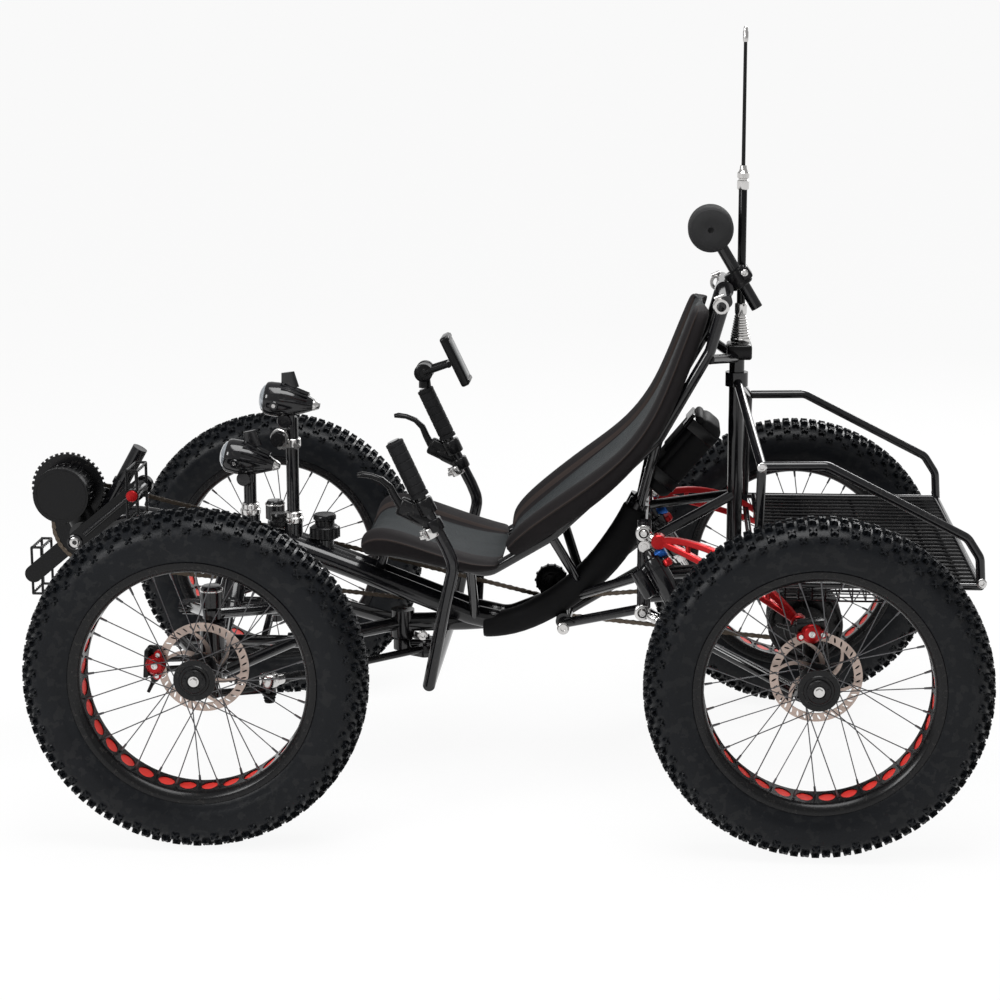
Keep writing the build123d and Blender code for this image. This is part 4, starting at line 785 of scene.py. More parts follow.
# Columns: name, middle's x and z, dip of the nose in degrees, height of the post's foot, post's x, post's top
lamp_table = [
    ("low_lamp", -513, 590, 12, 484, -511, 566),
    ("tall_lamp", -437, 702, 8, 469, -430, 672),
]
lamp_ribs, lamp_rib_fan = 9, 160
for name, x, z, dip_angle, foot_z, post_x, post_top in lamp_table:
    lean = math.radians(dip_angle)
    way = Vector((-math.cos(lean), 0, math.sin(lean)))
    rise = Vector((math.sin(lean), 0, math.cos(lean)))
    middle = put(x, 0, z)
    shell_bm = bmesh.new()
    turned(shell_bm, middle + way * 0.040, middle - way * 0.060,
           [(0, 26), (-2, 28.5), (0, 30.5), (6, 31.8), (22, 32.5), (40, 30.5), (58, 25), (74, 18), (86, 12.5),
            (90, 10.5), (90, 0)], sides=40)
    for rib in range(lamp_ribs):
        angle = math.radians(lamp_rib_fan * rib / (lamp_ribs - 1) - lamp_rib_fan / 2)
        outward = rise * math.cos(angle) + Vector((0, math.sin(angle), 0))
        start, stop = middle + way * 0.012 + outward * 0.0325, middle - way * 0.038 + outward * 0.0195
        rod_between(shell_bm, start, stop, 2, 2.6)
    bmesh.ops.create_cone(shell_bm, cap_ends=True, segments=24, radius1=1, radius2=0.72, depth=1,
                          matrix=Matrix.Translation(middle + rise * 0.040 + way * 0.002)
                          @ Matrix.Rotation(-lean, 4, "Y") @ Matrix.Diagonal((0.017, 0.0042, 0.030, 1)))
    for side in (-1, 1):
        spot = middle + way * 0.020 + shift(0, side * 30, 0) - rise * 0.006
        turned(shell_bm, spot, spot + shift(0, side * 6, 0), [(0, 8.5), (4, 8.5), (5.5, 7), (5.5, 0)], sides=24)
    swivel = middle - rise * 0.036
    turned(shell_bm, swivel + shift(0, -16, 0), swivel + shift(0, 16, 0),
           [(0, 0), (0, 12), (2, 13.5), (30, 13.5), (32, 12), (32, 0)], sides=28)
    rounded_block(shell_bm, Matrix.Translation((swivel + put(post_x, 0, post_top)) / 2), (26, 26, 30), 4, 3)
    shell = piece_from(shell_bm, name, "chassis", gloss_black)
    lens_bm = turned(bmesh.new(), middle + way * 0.036, middle + way * 0.054,
                     [(0, 27.5), (4, 27.2), (10, 24), (14.5, 17), (16.8, 9), (17.4, 0)], sides=40)
    lens_piece = piece_from(lens_bm, f"{name}_lens", "chassis", lens_glass)
    trim_bm = turned(bmesh.new(), middle - way * 0.048, middle - way * 0.062,
                     [(0, 11.2), (3, 10.8), (7, 8.8), (11.5, 6.8), (13.5, 4.5), (14, 0)], sides=28)
    for side in (-1, 1):
        spot = middle + way * 0.020 + shift(0, side * 35.8, 0) - rise * 0.006
        turned(trim_bm, spot, spot + shift(0, side * 2, 0), [(0, 4), (1.2, 3.6), (1.2, 1.6), (0.2, 1.4), (0.2, 0)],
               sides=20)
    turned(trim_bm, put(post_x, 0, foot_z + 1), put(post_x, 0, foot_z + 30),
           [(0, 12.8), (0, 17.8), (2, 19), (10, 19), (12, 16.5), (20, 16.5), (21.5, 15), (22.5, 12.8)])
    trim = piece_from(trim_bm, f"{name}_trim", "chassis", bright_steel)
    height = post_top - foot_z
    post_bm = turned(bmesh.new(), put(post_x, 0, foot_z - 4), put(post_x, 0, post_top),
                     [(0, 11.8), (50, 11.8), (height - 1, 11.8), (height + 4, 10.5), (height + 4, 0)])
    post = piece_from(post_bm, f"{name}_post", "chassis", gloss_black)
    if name == "low_lamp":
        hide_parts("head_lamps")
# the tall post carries a stub for accessories, held by a bright ring clamp
stub_bm = turned(bmesh.new(), put(-449, -46, 637), put(-449, 46, 637),
                 [(0, 0), (0, 12.8), (1.5, 14), (13.5, 14), (14, 11.2), (78, 11.2), (78.5, 14), (90.5, 14),
                  (92, 12.8), (92, 0)])
stub = piece_from(stub_bm, "accessory_stub", "chassis", satin_black)
ring_clamp_bm = turned(bmesh.new(), put(-449, -31, 637), put(-449, -17, 637),
                       [(0, 11.2), (0, 15.8), (1, 16.8), (13, 16.8), (14, 15.8), (14, 11.2)], sides=40)
turned(ring_clamp_bm, put(-430, 0, 616), put(-430, 0, 632),
       [(0, 11.8), (0, 15.5), (1, 16.5), (15, 16.5), (16, 15.5), (16, 11.8)])
for x, y in ((-449, -15), (-418, -12), (-442, -14)):
    rod_between(ring_clamp_bm, put(x, y - 6, 620), put(x, y + 8, 620), 4.2, sides=6)
    rod_between(ring_clamp_bm, put(x, y - 8, 620), put(x, y - 6, 620), 6, sides=16)
ring_clamp = piece_from(ring_clamp_bm, "stub_clamps", "chassis", bright_steel)
# the capped socket behind the lamps has a knurled screw cap
knob_bm = turned(bmesh.new(), put(-371, 0, 440), put(-371, 0, 487),
                 [(0, 17.2), (0, 22.5), (3, 26.2), (22, 26.2), (25, 22.5), (26.5, 18.5), (36, 18.5), (37.5, 21.5),
                  (44, 21.5), (47, 19), (47.5, 0)], sides=40)
cap_flutes, flute_radius = 16, 26.2
for flute in range(cap_flutes):
    angle = math.tau * flute / cap_flutes
    spot = put(-371 + flute_radius * math.cos(angle), flute_radius * math.sin(angle), 443)
    rod_between(knob_bm, spot, spot + shift(0, 0, 18), 2.8)
turned(knob_bm, put(-457, 0, 462), put(-457, 0, 489),
       [(0, 12), (0, 16.8), (3, 18.5), (10, 18.5), (12, 15), (20, 15), (22, 16.5), (26, 15), (27, 0)])
knob = piece_from(knob_bm, "socket_caps", "chassis", satin_black)

# Display: a flat colour screen in a rounded black bezel, on a short clamp arm with a round joint, at the top of the
# right bar. The screen is off, and its face is bare.
screen_glass, screen_place, screen_shader = new_material("screen_glass")
feed(screen_place.mottle(12.0).between((0.008, 0.011, 0.012), (0.020, 0.028, 0.030)), screen_shader, "Base Color")
feed(screen_place.mottle(30.0) * 0.10 + 0.06, screen_shader, "Roughness")
screen_shader.inputs["Specular IOR Level"].default_value = 0.2
face_middle = put(-145.8, bar_side, 740)
bezel_bm = bmesh.new()
face_turn = Matrix.Translation(face_middle) @ Matrix.Rotation(math.radians(-25.6), 4, "Y")
rounded_block(bezel_bm, face_turn, (17.5, 64, 106), 5, 4)
for hood in (-1, 1):
    rounded_block(bezel_bm, face_turn @ Matrix.Translation((0.0072, 0, hood * 0.0465)), (6, 56, 8), 2, 2)
joint_middle = put(-208, bar_side, 716)
turned(bezel_bm, joint_middle + shift(0, -26, 0), joint_middle + shift(0, 26, 0),
       [(0, 0), (0, 7.2), (1.5, 8.2), (1.5, 16), (3, 18.2), (11, 18.2), (12.5, 16.8), (39.5, 16.8), (41, 18.2),
        (49, 18.2), (50.5, 16), (50.5, 8.2), (52, 7.2), (52, 0)], sides=40)
for y in (238, 281):
    rod_between(bezel_bm, put(-207, y, 716), put(-158, y, 733), 6.2, 5.2, sides=14)
rod_between(bezel_bm, put(-207, bar_side, 684), put(-208, bar_side, 706), 12.5, 11, sides=24)
rod_between(bezel_bm, put(-158, 236, 733), put(-158, 283, 733), 6.2, sides=14)
bezel = piece_from(bezel_bm, "display_bezel", "steering", black_plastic)
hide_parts("display")
screen_bm = bmesh.new()
rounded_block(screen_bm, face_turn @ Matrix.Translation((0.0086, 0, 0)), (1.2, 52, 78), 0.5, 2)
screen = piece_from(screen_bm, "display_screen", "steering", screen_glass)

# Antenna: a whip on a bright sprung base. Its ribbed cone stands on the mount at the top of the post, below a black
# loading coil, a bright coupler and the thin whip with its bright tip.
base = put(404.32, 26, 819.6)
spring_turns, turn_rise, turn_taper = 9, 4.6, 0.8
spring_outline = [(0, 0), (0, 17.5), (3, 18.5), (6, 18.5)]
for turn_number in range(spring_turns):
    start = 8 + turn_number * turn_rise
    wide = 18.2 - turn_number * turn_taper
    spring_outline += [(start, wide - 1.6), (start + 1, wide), (start + 3, wide), (start + 4, wide - 1.6)]
spring_outline += [(51, 10), (52.5, 11.2), (70, 11.2), (72, 9), (72, 0)]
antenna_steel = bmesh.new()
turned(antenna_steel, base, base + shift(0, 0, 100), spring_outline, sides=36)
turned(antenna_steel, base + shift(0, 0, 281), base + shift(0, 0, 400),
       [(0, 0), (0, 10), (2, 11), (16, 11), (17.5, 8.5), (20, 8.5), (21.5, 11), (30, 11), (33.5, 8), (38, 6.5),
        (44, 6), (45, 0)])
turned(antenna_steel, base + shift(0, 0, 547.5), base + shift(0, 0, 600),
       [(0, 0), (0, 4.6), (4, 5), (18, 5), (20, 4), (26, 4), (28.5, 1.5), (28.5, 0)], sides=24)
steel_piece = piece_from(antenna_steel, "antenna_fittings", "chassis", bright_steel)
whip_bm = bmesh.new()
turned(whip_bm, base + shift(0, 0, 68), base + shift(0, 0, 283),
       [(0, 0), (0, 7.2), (2, 7.8), (212, 7.8), (214, 7), (215, 0)], sides=28)
turned(whip_bm, base + shift(0, 0, 322), base + shift(0, 0, 549), [(0, 0), (0, 3.6), (226, 3.2), (227, 0)],
       sides=16)
mount_middle = put(402.192, 13, 804.6)
rounded_block(whip_bm, Matrix.Translation(mount_middle), (46, 60, 28), 5, 3)
whip = piece_from(whip_bm, "antenna_whip", "chassis", black_plastic)
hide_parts("antenna")

# Brake calipers: two halves bolted round the rotor, the outer one a red turned body with a bright bolt and the inner
# one a black block, with pads between them and a banjo fitting for the hose.
caliper_radius = 82


def caliper_pieces(name, body, wheel_x, side, angle):
    """The three pieces of one caliper, at an angle round the axle from straight ahead, up and over."""
    spot = put(wheel_x, 0, axle_height) + shift(caliper_radius * math.cos(angle), 0,
                                                caliper_radius * math.sin(angle))
    outward = Vector((math.cos(angle), 0, math.sin(angle)))
    past = Vector((-math.sin(angle), 0, math.cos(angle)))
    red_bm = bmesh.new()
    face = shift(0, side * 371.5, 0)
    turned(red_bm, spot + face, spot + face + shift(0, side * 14.5, 0),
           [(0, 0), (0, 16.5), (1.5, 17.8), (8.5, 17.8), (10, 16), (11.5, 15), (13.5, 13.5), (14.5, 11.5),
            (14.5, 0)], sides=36)
    for along_rotor in (-0.019, 0.019):
        start = spot + face + past * along_rotor - outward * 0.004
        turned(red_bm, start, start + shift(0, side * 9, 0), [(0, 0), (0, 7.5), (8, 7.5), (9, 6.5), (9, 0)],
               sides=20)
    red = piece_from(red_bm, f"{name}_red_half", body, red_alloy)
    dark_bm = bmesh.new()
    inner = shift(0, side * 355.5, 0)
    rounded_block(dark_bm, Matrix.Translation(spot + inner + outward * 0.003) @ Matrix.Rotation(-angle, 4, "Y"),
                  (34, 14, 56), 5, 3)
    rounded_block(dark_bm, Matrix.Translation(spot + shift(0, side * 365.5, 0) + outward * 0.0165)
                  @ Matrix.Rotation(-angle, 4, "Y"), (8, 30, 50), 2, 2)
    banjo = spot + inner + past * 0.030 + outward * 0.004
    turned(dark_bm, banjo + shift(0, -6, 0), banjo + shift(0, 6, 0),
           [(0, 0), (0, 6.5), (2, 8), (10, 8), (12, 6.5), (12, 0)], sides=20)
    turned(dark_bm, banjo, banjo + past * 0.030 + outward * 0.012,
           [(0, 4.5), (12, 4.5), (14, 3.6), (30, 3), (31, 0)], sides=14)
    dark = piece_from(dark_bm, f"{name}_dark_half", body, satin_black)
    bolt_bm = bmesh.new()
    turned(bolt_bm, spot + face + shift(0, side * 14.3, 0), spot + face + shift(0, side * 17.5, 0),
           [(0, 6.2), (2.2, 5.6), (2.6, 2.8), (1.2, 2.4), (1.2, 0)], sides=24)
    for along_rotor in (-0.019, 0.019):
        start = spot + face + past * along_rotor - outward * 0.004 + shift(0, side * 9, 0)
        rod_between(bolt_bm, start, start + shift(0, side * 2.4, 0), 4.2, sides=6)
    bolt = piece_from(bolt_bm, f"{name}_bolts", body, bright_steel)
    return dark


# Front knuckles: a turned canister round each kingpin with a bright rim at its top, a bracket for the caliper, and a
# flat steering arm below that ends in the tie rod's ball.
kingpin_x, kingpin_side, arm_reach, arm_inset = -522, 330, 93, 30
for side, side_name in both_sides:
    body = f"{side_name}_knuckle"
    knuckle_bm = bmesh.new()
    pin = put(kingpin_x, side * kingpin_side, 0)
    turned(knuckle_bm, pin + shift(0, 0, 282.5), pin + shift(0, 0, 371.5),
           [(0, 8), (0, 21.5), (2, 23.5), (10, 23.5), (12, 22.2), (74, 22.2), (76, 23.5), (86, 23.5), (88.5, 21.5),
            (89, 8)], sides=48)
    turned(knuckle_bm, pin + shift(0, 0, 238), pin + shift(0, 0, 284), [(0, 0), (0, 7.9), (46, 7.9), (46, 0)],
           sides=24)
    turned(knuckle_bm, pin + shift(0, 0, 370), pin + shift(0, 0, 397), [(0, 0), (0, 7.9), (27, 7.9), (27, 0)],
           sides=24)
    turned(knuckle_bm, pin + shift(0, 0, 396.5), pin + shift(0, 0, 436),
           [(0, 0), (0, 17.5), (1.5, 19.6), (30, 19.6), (31.5, 18), (34.5, 18), (38.5, 15), (39.5, 0)], sides=44)
    spindle_start = put(-half_wheelbase, side * 331, axle_height)
    spindle_end = put(-half_wheelbase, side * 364, axle_height)
    turned(knuckle_bm, spindle_start, spindle_end, [(0, 0), (0, 18.5), (10, 16), (20, 12.5), (33, 11), (33, 0)])
    for reach, wide in ((0, 13.5), (arm_reach, 12.5)):
        spot = pin + shift(reach, -side * arm_inset * reach / arm_reach, 232.5)
        turned(knuckle_bm, spot, spot + shift(0, 0, 11.5),
               [(0, 0), (0, wide - 1.5), (1.5, wide), (10, wide), (11.5, wide - 1.5), (11.5, 0)], sides=28)
    lean = math.atan2(-side * arm_inset, arm_reach)
    rounded_block(knuckle_bm, Matrix.Translation(pin + shift(46.5, -side * 15, 238))
                  @ Matrix.Rotation(lean, 4, "Z"), (90, 19.5, 10.5), 3, 2)
    for height in (288, 306):
        rod_between(knuckle_bm, put(-half_wheelbase, side * 336, height), put(-600, side * 350, height), 6.2, 5.5,
                    sides=16)
    for height in (-12, 12):
        rod_between(knuckle_bm, put(-598, side * 349, axle_height + height),
                    put(-620, side * 352, axle_height + height), 6.2, sides=16)
    knuckle = piece_from(knuckle_bm, f"{side_name}_kingpin_housing", body, gloss_black)
    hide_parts(f"front_{side_name}_knuckle")
    rim_trim = turned(bmesh.new(), pin + shift(0, 0, 425.8), pin + shift(0, 0, 429),
                      [(0, 19), (0, 20.2), (0.6, 20.6), (2.6, 20.6), (3.2, 20.2), (3.2, 19)], sides=44)
    turned(rim_trim, pin + shift(arm_reach, -side * arm_inset, 243.5),
           pin + shift(arm_reach, -side * arm_inset, 259), [(0, 6.2), (1, 6.2), (14.5, 6.2), (15.5, 5), (15.5, 0)],
           sides=20)
    trim = piece_from(rim_trim, f"{side_name}_kingpin_trim", body, bright_steel)
    caliper_pieces(f"front_{side_name}_caliper", body, -half_wheelbase, side, math.radians(176))

# Rear carriers: cast bearing carriers on the ends of the trailing arms, with a caliper's bracket over each.
carrier_bm = bmesh.new()
for side in (-1, 1):
    hub = put(half_wheelbase, side * 327, axle_height)
    turned(carrier_bm, hub + shift(0, -side * 17, 0), hub + shift(0, side * 17, 0),
           [(0, 10.8), (0, 18), (2, 20.5), (8, 22.5), (10, 27), (32.5, 27.5), (34, 25.5), (34, 10.8)], sides=48)
    for angle, spot in round_axle(hub + shift(0, side * 17, 0), 21.2, 5):
        rod_between(carrier_bm, spot, spot + shift(0, side * 2.5, 0), 3.2, sides=6)
    for low_z, high_z, wide in ((26, 88, 36), (-48, -26, 34)):
        rounded_block(carrier_bm, Matrix.Translation(hub + shift(-4, 0, (low_z + high_z) / 2)),
                      (wide, 17, high_z - low_z), 4, 3)
    rod_between(carrier_bm, put(526, side * 331, 382), put(523, side * 352, 384), 8.5, sides=20)
carriers = piece_from(carrier_bm, "rear_carrier_castings", "chassis", satin_black)
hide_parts("rear_carriers")
for side, side_name in both_sides:
    caliper_pieces(f"rear_{side_name}_caliper", "chassis", half_wheelbase, side, math.radians(97))

# Frame wrap: a padded sleeve of black cloth that hugs the bend of the left spine tube, closed along its underside and
# hemmed at both ends. Its side is bare of words. Columns: x, z, half thickness in the plane of the bend.
wrap_cloth = plain_finish("wrap_cloth", (0.005, 0.005, 0.0055), 0.62, grain=700.0, depth=0.0002, shine=0.12)
wrap_line = [(-70, 284, 22), (-68, 284, 24.5), (-46, 284, 24), (-17, 289, 24), (16, 301, 25), (50, 320, 26),
             (84, 342, 27), (113, 366, 28), (145, 396, 29), (172, 430, 30), (196, 466, 30), (212, 496, 29.5),
             (219, 509, 30), (220, 511, 27)]
wrap_bm = bmesh.new()
wrap_sides, wrap_half = 20, 22.5
creases = random.Random(5)
previous = None
for place, (x, z, half) in enumerate(wrap_line):
    after_x, after_z = wrap_line[min(place + 1, len(wrap_line) - 1)][:2]
    before_x, before_z = wrap_line[max(place - 1, 0)][:2]
    slope = math.atan2(after_z - before_z, after_x - before_x)
    ring = []
    for number in range(wrap_sides):
        turn_angle = math.tau * number / wrap_sides
        swell = 1 + creases.uniform(-0.02, 0.02)
        rise = half * swell * math.copysign(abs(math.cos(turn_angle)) ** 0.8, math.cos(turn_angle))
        out = wrap_half * swell * math.copysign(abs(math.sin(turn_angle)) ** 0.8, math.sin(turn_angle))
        ring.append(wrap_bm.verts.new(put(x - rise * math.sin(slope), out - 22, z + rise * math.cos(slope))))
    edges = [wrap_bm.edges.new((vert, ring[number - 1])) for number, vert in enumerate(ring)]
    previous = ring_joined(wrap_bm, edges, previous)
bmesh.ops.contextual_create(wrap_bm, geom=previous)
bmesh.ops.recalc_face_normals(wrap_bm, faces=wrap_bm.faces)
wrap = piece_from(wrap_bm, "padded_wrap", "chassis", wrap_cloth, smooth=180)
rounding = wrap.modifiers.new("rounding", "SUBSURF")
rounding.levels = rounding.render_levels = 1
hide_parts("frame_wrap")

# Ball joints and bolts: bright steel eyes with a ball and a socket bolt, each on a threaded shank with a lock nut, at
# the rear struts, and plain bright bolts at the ends of the rack's rails, the pivots and the seat's top bar.


def ball_eye(bm, centre, toward, side):
    """An eye whose bolt lies across the vehicle, with its shank towards a point."""
    face = Vector((0, side, 0))
    start = Vector((centre.x, 0, centre.z)) + face * (abs(centre.y) - 0.0065)
    turned(bm, start, start + face, [(0, 9), (0, 13), (1.5, 14.8), (11.5, 14.8), (13, 13), (13, 9), (0, 9)],
           sides=36)
    turned(bm, start, start + face, [(-2, 0), (-2, 6), (1.5, 8.5), (6.5, 10), (11.5, 8.5), (15, 6), (16, 5.6),
                                     (16, 3.2), (14.5, 3), (14.5, 0)], sides=28)
    way = (toward - centre).normalized()
    turned(bm, centre + way * 0.0125, centre + way, [(0, 6.2), (4, 7.2), (12, 7.2), (12.5, 9), (17.5, 9), (18, 5.5),
                                                     (36, 5.5), (36, 0)], sides=24)


def bolt_head(bm, centre, side, radius):
    """The round head of a socket bolt that lies across the vehicle."""
    face = Vector((0, side, 0))
    turned(bm, centre, centre + face, [(0, 0), (0, radius), (0.8, radius * 1.08), (3, radius * 1.08),
                                       (4.2, radius * 0.92), (4.6, radius * 0.70), (4.2, radius * 0.45),
                                       (2, radius * 0.40), (2, 0)], sides=28)


joint_bm = bmesh.new()
for side in (-1, 1):
    ball_eye(joint_bm, put(231, side * 168, 500), put(500, side * 325, 384), side)
    ball_eye(joint_bm, put(230, side * 168, 352), put(502, side * 327, 258), side)
    for x, y, z, radius in ((812, 348, 464, 7.8), (433, 348, 662, 7.8), (82, 66, 290, 10.5), (-181, 60, 271, 8.5)):
        bolt_head(joint_bm, put(x, side * y, z), side, radius)
    bar_end = put(364, side * 152, 911)
    turned(joint_bm, bar_end, bar_end + shift(0, side * 20, 0),
           [(0, 11.5), (0, 14), (1.2, 15), (11.5, 15), (13, 14), (16, 13), (16, 8.8), (12, 8.5), (12, 11.5),
            (0, 11.5)], sides=36)
    rod_between(joint_bm, bar_end + shift(-12, side * 6, 12), bar_end + shift(4, side * 6, 19), 4.6, sides=14)
bolt_head(joint_bm, put(408, 22, 953), 1, 6.2)
bolt_head(joint_bm, put(408, -22, 953), -1, 6.2)
joints = piece_from(joint_bm, "ball_joints_and_bolts", "chassis", bright_steel)

# Tie rods: black steel rods with a bright ball socket at the outer end, over a black rubber boot, and a lock nut where
# the rod is screwed in.
for side, side_name in both_sides:
    body = f"{side_name}_tie_rod"
    eye_x, eye_side = kingpin_x + arm_reach, kingpin_side - arm_inset
    outer, inner = put(eye_x, side * eye_side, 252), put(-181, side * 25, 236)
    way = (inner - outer).normalized()
    socket_bm = bmesh.new()
    turned(socket_bm, outer - shift(0, 0, 7.2), outer + shift(0, 0, 10.5),
           [(0, 16), (2.5, 16.8), (15, 17.2), (20, 15), (22.5, 10.5), (22.5, 0)], sides=36)
    turned(socket_bm, outer + way * 0.012, outer + way * 0.060, [(0, 10.5), (6, 10), (20, 8.5), (20, 0)], sides=24)
    shank_bm = turned(bmesh.new(), outer + way * 0.031, outer + way * 0.090,
                      [(0, 0), (0, 9.8), (8, 9.8), (8.5, 7.8), (40, 7.8), (40.5, 7.2), (44, 0)], sides=24)
    shank = piece_from(shank_bm, f"{side_name}_tie_rod_nut", body, satin_black)
    boot_bm = turned(bmesh.new(), put(eye_x, side * eye_side, 214), put(eye_x, side * eye_side, 233),
                     [(0, 0), (0, 8.5), (3.5, 10), (5.5, 8.8), (8, 11.2), (10.5, 9.8), (14, 12.8), (17.5, 12.5),
                      (17.5, 0)])
    boot = piece_from(boot_bm, f"{side_name}_ball_boot", f"{side_name}_knuckle", soft_rubber)
    socket = piece_from(socket_bm, f"{side_name}_ball_socket", body, bright_steel)

# Shock absorbers: an air can on a bright shaft between two eyes, with a bright collar and dial at the shaft's end. The
# rear ones carry a blue and a red knob at the head. The dial is bare.
blue_alloy = plain_finish("blue_anodised", (0.010, 0.09, 0.36), 0.26, metal=0.6)
shock_black, shock_bright = bmesh.new(), bmesh.new()
can_share = 0.46
shock_places = {"rear": ((232, 158, 474), (326, 212, 319)), "front": ((-521, 20, 448), (-521, 246, 278))}
for place, (top, foot) in shock_places.items():
    for side in (-1, 1):
        start, end = put(top[0], side * top[1], top[2]), put(foot[0], side * foot[1], foot[2])
        way, length = (end - start).normalized(), (end - start).length * 1000
        can = length * can_share
        shaft_bm = shock_bright if place == "rear" else shock_black
        turned(shock_black, start + way * 0.010, end,
               [(0, 0), (0, 8.5), (6, 12.5), (16, 14.5), (18, 18.2), (20, 19), (36, 19), (37, 18), (39, 18),
                (40, 19), (20 + can, 19), (23 + can, 17.2), (23 + can, 0)], sides=40)
        turned(shaft_bm, start + way * (33.5 + can) / 1000, end,
               [(-2, 0), (-2, 17.5), (0, 18.2), (5, 18.2), (7, 16), (18, 15), (19.5, 8.5), (19.5, 6.2),
                (length - 43.5 - can, 6.2), (length - 43.5 - can, 0)], sides=36)
        across = Vector((0, 1, 0)) if place == "rear" else Vector((1, 0, 0))
        for eye_middle in (start, end):
            turned(shaft_bm, eye_middle - across * 0.010, eye_middle + across * 0.010,
                   [(0, 0), (0, 5.5), (1, 6), (1, 10.5), (3, 12), (17, 12), (19, 10.5), (19, 6), (20, 5.5),
                    (20, 0)])
        if place == "rear":
            cross = way.cross(Vector((0, 1, 0))).normalized()
            reservoir = start + way * 0.034 - cross * 0.034
            turned(shock_black, reservoir, reservoir + way,
                   [(0, 0), (0, 11.5), (2, 13.5), (50, 13.5), (53, 12), (54, 0)])
            rod_between(shock_black, start + way * 0.030, reservoir + way * 0.010, 8.5, sides=16)
            knob = start + way * 0.026 + shift(0, side * 2, 0)
            knob_bm = turned(bmesh.new(), knob + cross * 0.010, knob + cross * 0.05,
                             [(0, 0), (0, 9), (12, 9), (12.5, 10.5), (18.5, 10.5), (20, 9), (20, 0)], sides=14)
            side_name = "left" if side < 0 else "right"
            blue_knob = piece_from(knob_bm, f"{side_name}_shock_blue_knob", "chassis", blue_alloy)
            knob_bm = turned(bmesh.new(), knob + cross * 0.022 + way * 0.014, knob + cross * 0.022 + way,
                             [(0, 0), (0, 8), (1.5, 9.2), (11, 9.2), (13.5, 7), (14, 0)], sides=14)
            red_knob = piece_from(knob_bm, f"{side_name}_shock_red_knob", "chassis", red_alloy)
black_part = piece_from(shock_black, "shock_air_cans", "chassis", gloss_black)
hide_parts("rear_shocks", "front_shocks")
bright_part = piece_from(shock_bright, "shock_shafts", "chassis", bright_steel)

# Rear upper arms: red machined arms that arch over the shock absorbers, each cut out between two chords that are
# joined by webs, with a boss at either end.
arm_steps = 14
corner_cut = [(-1, -0.7), (-0.7, -1), (0.7, -1), (1, -0.7), (1, 0.7), (0.7, 1), (-0.7, 1), (-1, 0.7)]


def bar_along(bm, points, height, width):
    """A flat bar through the points, higher than it is wide, with its broad faces upright."""
    previous = None
    for place, point in enumerate(points):
        way = (points[min(place + 1, len(points) - 1)] - points[max(place - 1, 0)]).normalized()
        flat = way.cross(Vector((0, 0, 1))).normalized()
        rise = flat.cross(way)
        corners = [bm.verts.new(point + flat * width * a / 2 + rise * height * b / 2) for a, b in corner_cut]
        edges = [bm.edges.new((vert, corners[number - 1])) for number, vert in enumerate(corners)]
        previous = ring_joined(bm, edges, previous)
    bmesh.ops.contextual_create(bm, geom=previous)


arm_bm = bmesh.new()
for side in (-1, 1):
    start, end = put(258, side * 184, 489), put(502, side * 327, 384)
    share_steps = [step / arm_steps for step in range(arm_steps + 1)]
    chords = []
    for arch in (0.040, 0.008):
        chords.append([start.lerp(end, share) + Vector((0, 0, arch * math.sin(math.pi * share) ** 0.8))
                       for share in share_steps])
        bar_along(arm_bm, chords[-1], 0.0115, 0.0115)
    for share_step in (3, 6, 9, 11):
        rod_between(arm_bm, chords[0][share_step], chords[1][share_step], 4.8, sides=10)
    for boss in (start, end):
        turned(arm_bm, boss - shift(0, 11, 0), boss + shift(0, 11, 0),
               [(0, 0), (0, 11.5), (2, 13.5), (20, 13.5), (22, 11.5), (22, 0)])
bmesh.ops.recalc_face_normals(arm_bm, faces=arm_bm.faces)
red_arms = piece_from(arm_bm, "red_upper_arms", "chassis", red_alloy)
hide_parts("rear_upper_arms")

# Battery bag: a stiff padded case of black ripstop cloth leaning behind the seat, with a zip round its flap, two
# webbing straps and a capped charging socket.
case_stand = Matrix.Translation(put(300, 0, 615)) @ Matrix.Rotation(math.radians(-50), 4, "Y")
bag_bm = bmesh.new()
for middle, size, rounding in ((shift(0, 0, -4), (168, 118, 48), 16), (shift(0, 0, 20.5), (160, 110, 16), 7),
                               (shift(20, 0, 29), (70, 74, 8), 3)):
    rounded_block(bag_bm, case_stand @ Matrix.Translation(middle), size, rounding, 4)
bag = piece_from(bag_bm, "battery_bag", "chassis", wrap_cloth, smooth=60)
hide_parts("battery")
strap_bm = bmesh.new()
for place in (-52, 58):
    for middle, size in ((shift(place, 0, 3), (22, 122, 60)), (shift(place, -30, 33.5), (30, 26, 6))):
        rounded_block(strap_bm, case_stand @ Matrix.Translation(middle), size, 2, 2)
straps = piece_from(strap_bm, "battery_straps", "chassis", black_plastic)

# Chain: riveted roller links of oiled steel in one long loop from the chainring under its idler to the axle. Pairs of
# narrow and broad plates take turns.
chain_steel = plain_finish("oiled_chain_steel", (0.10, 0.080, 0.062), 0.34, metal=0.9, dust=0.2)
idler_x, idler_z, arc_step = 54.1, 351, 0.08
chain_wheels = [(Vector((-822.5, 449.0)), 79.3), (Vector((idler_x, idler_z)), -34.3),
                (Vector((half_wheelbase, axle_height)), 59.3)]


def leaving(first, second, level, crossed):
    """Heading, from a wheel's middle, of the place where the chain leaves it for the next wheel."""
    way = second[0] - first[0]
    reach = abs(first[1]) + abs(second[1]) if crossed else abs(first[1]) - abs(second[1])
    return math.atan2(way.y, way.x) + level * math.acos(reach / way.length)


ring_wheel, guide_wheel, axle_wheel = chain_wheels
down, upward = leaving(ring_wheel, guide_wheel, 1, True), leaving(guide_wheel, axle_wheel, -1, True)
back = leaving(ring_wheel, axle_wheel, -1, False)
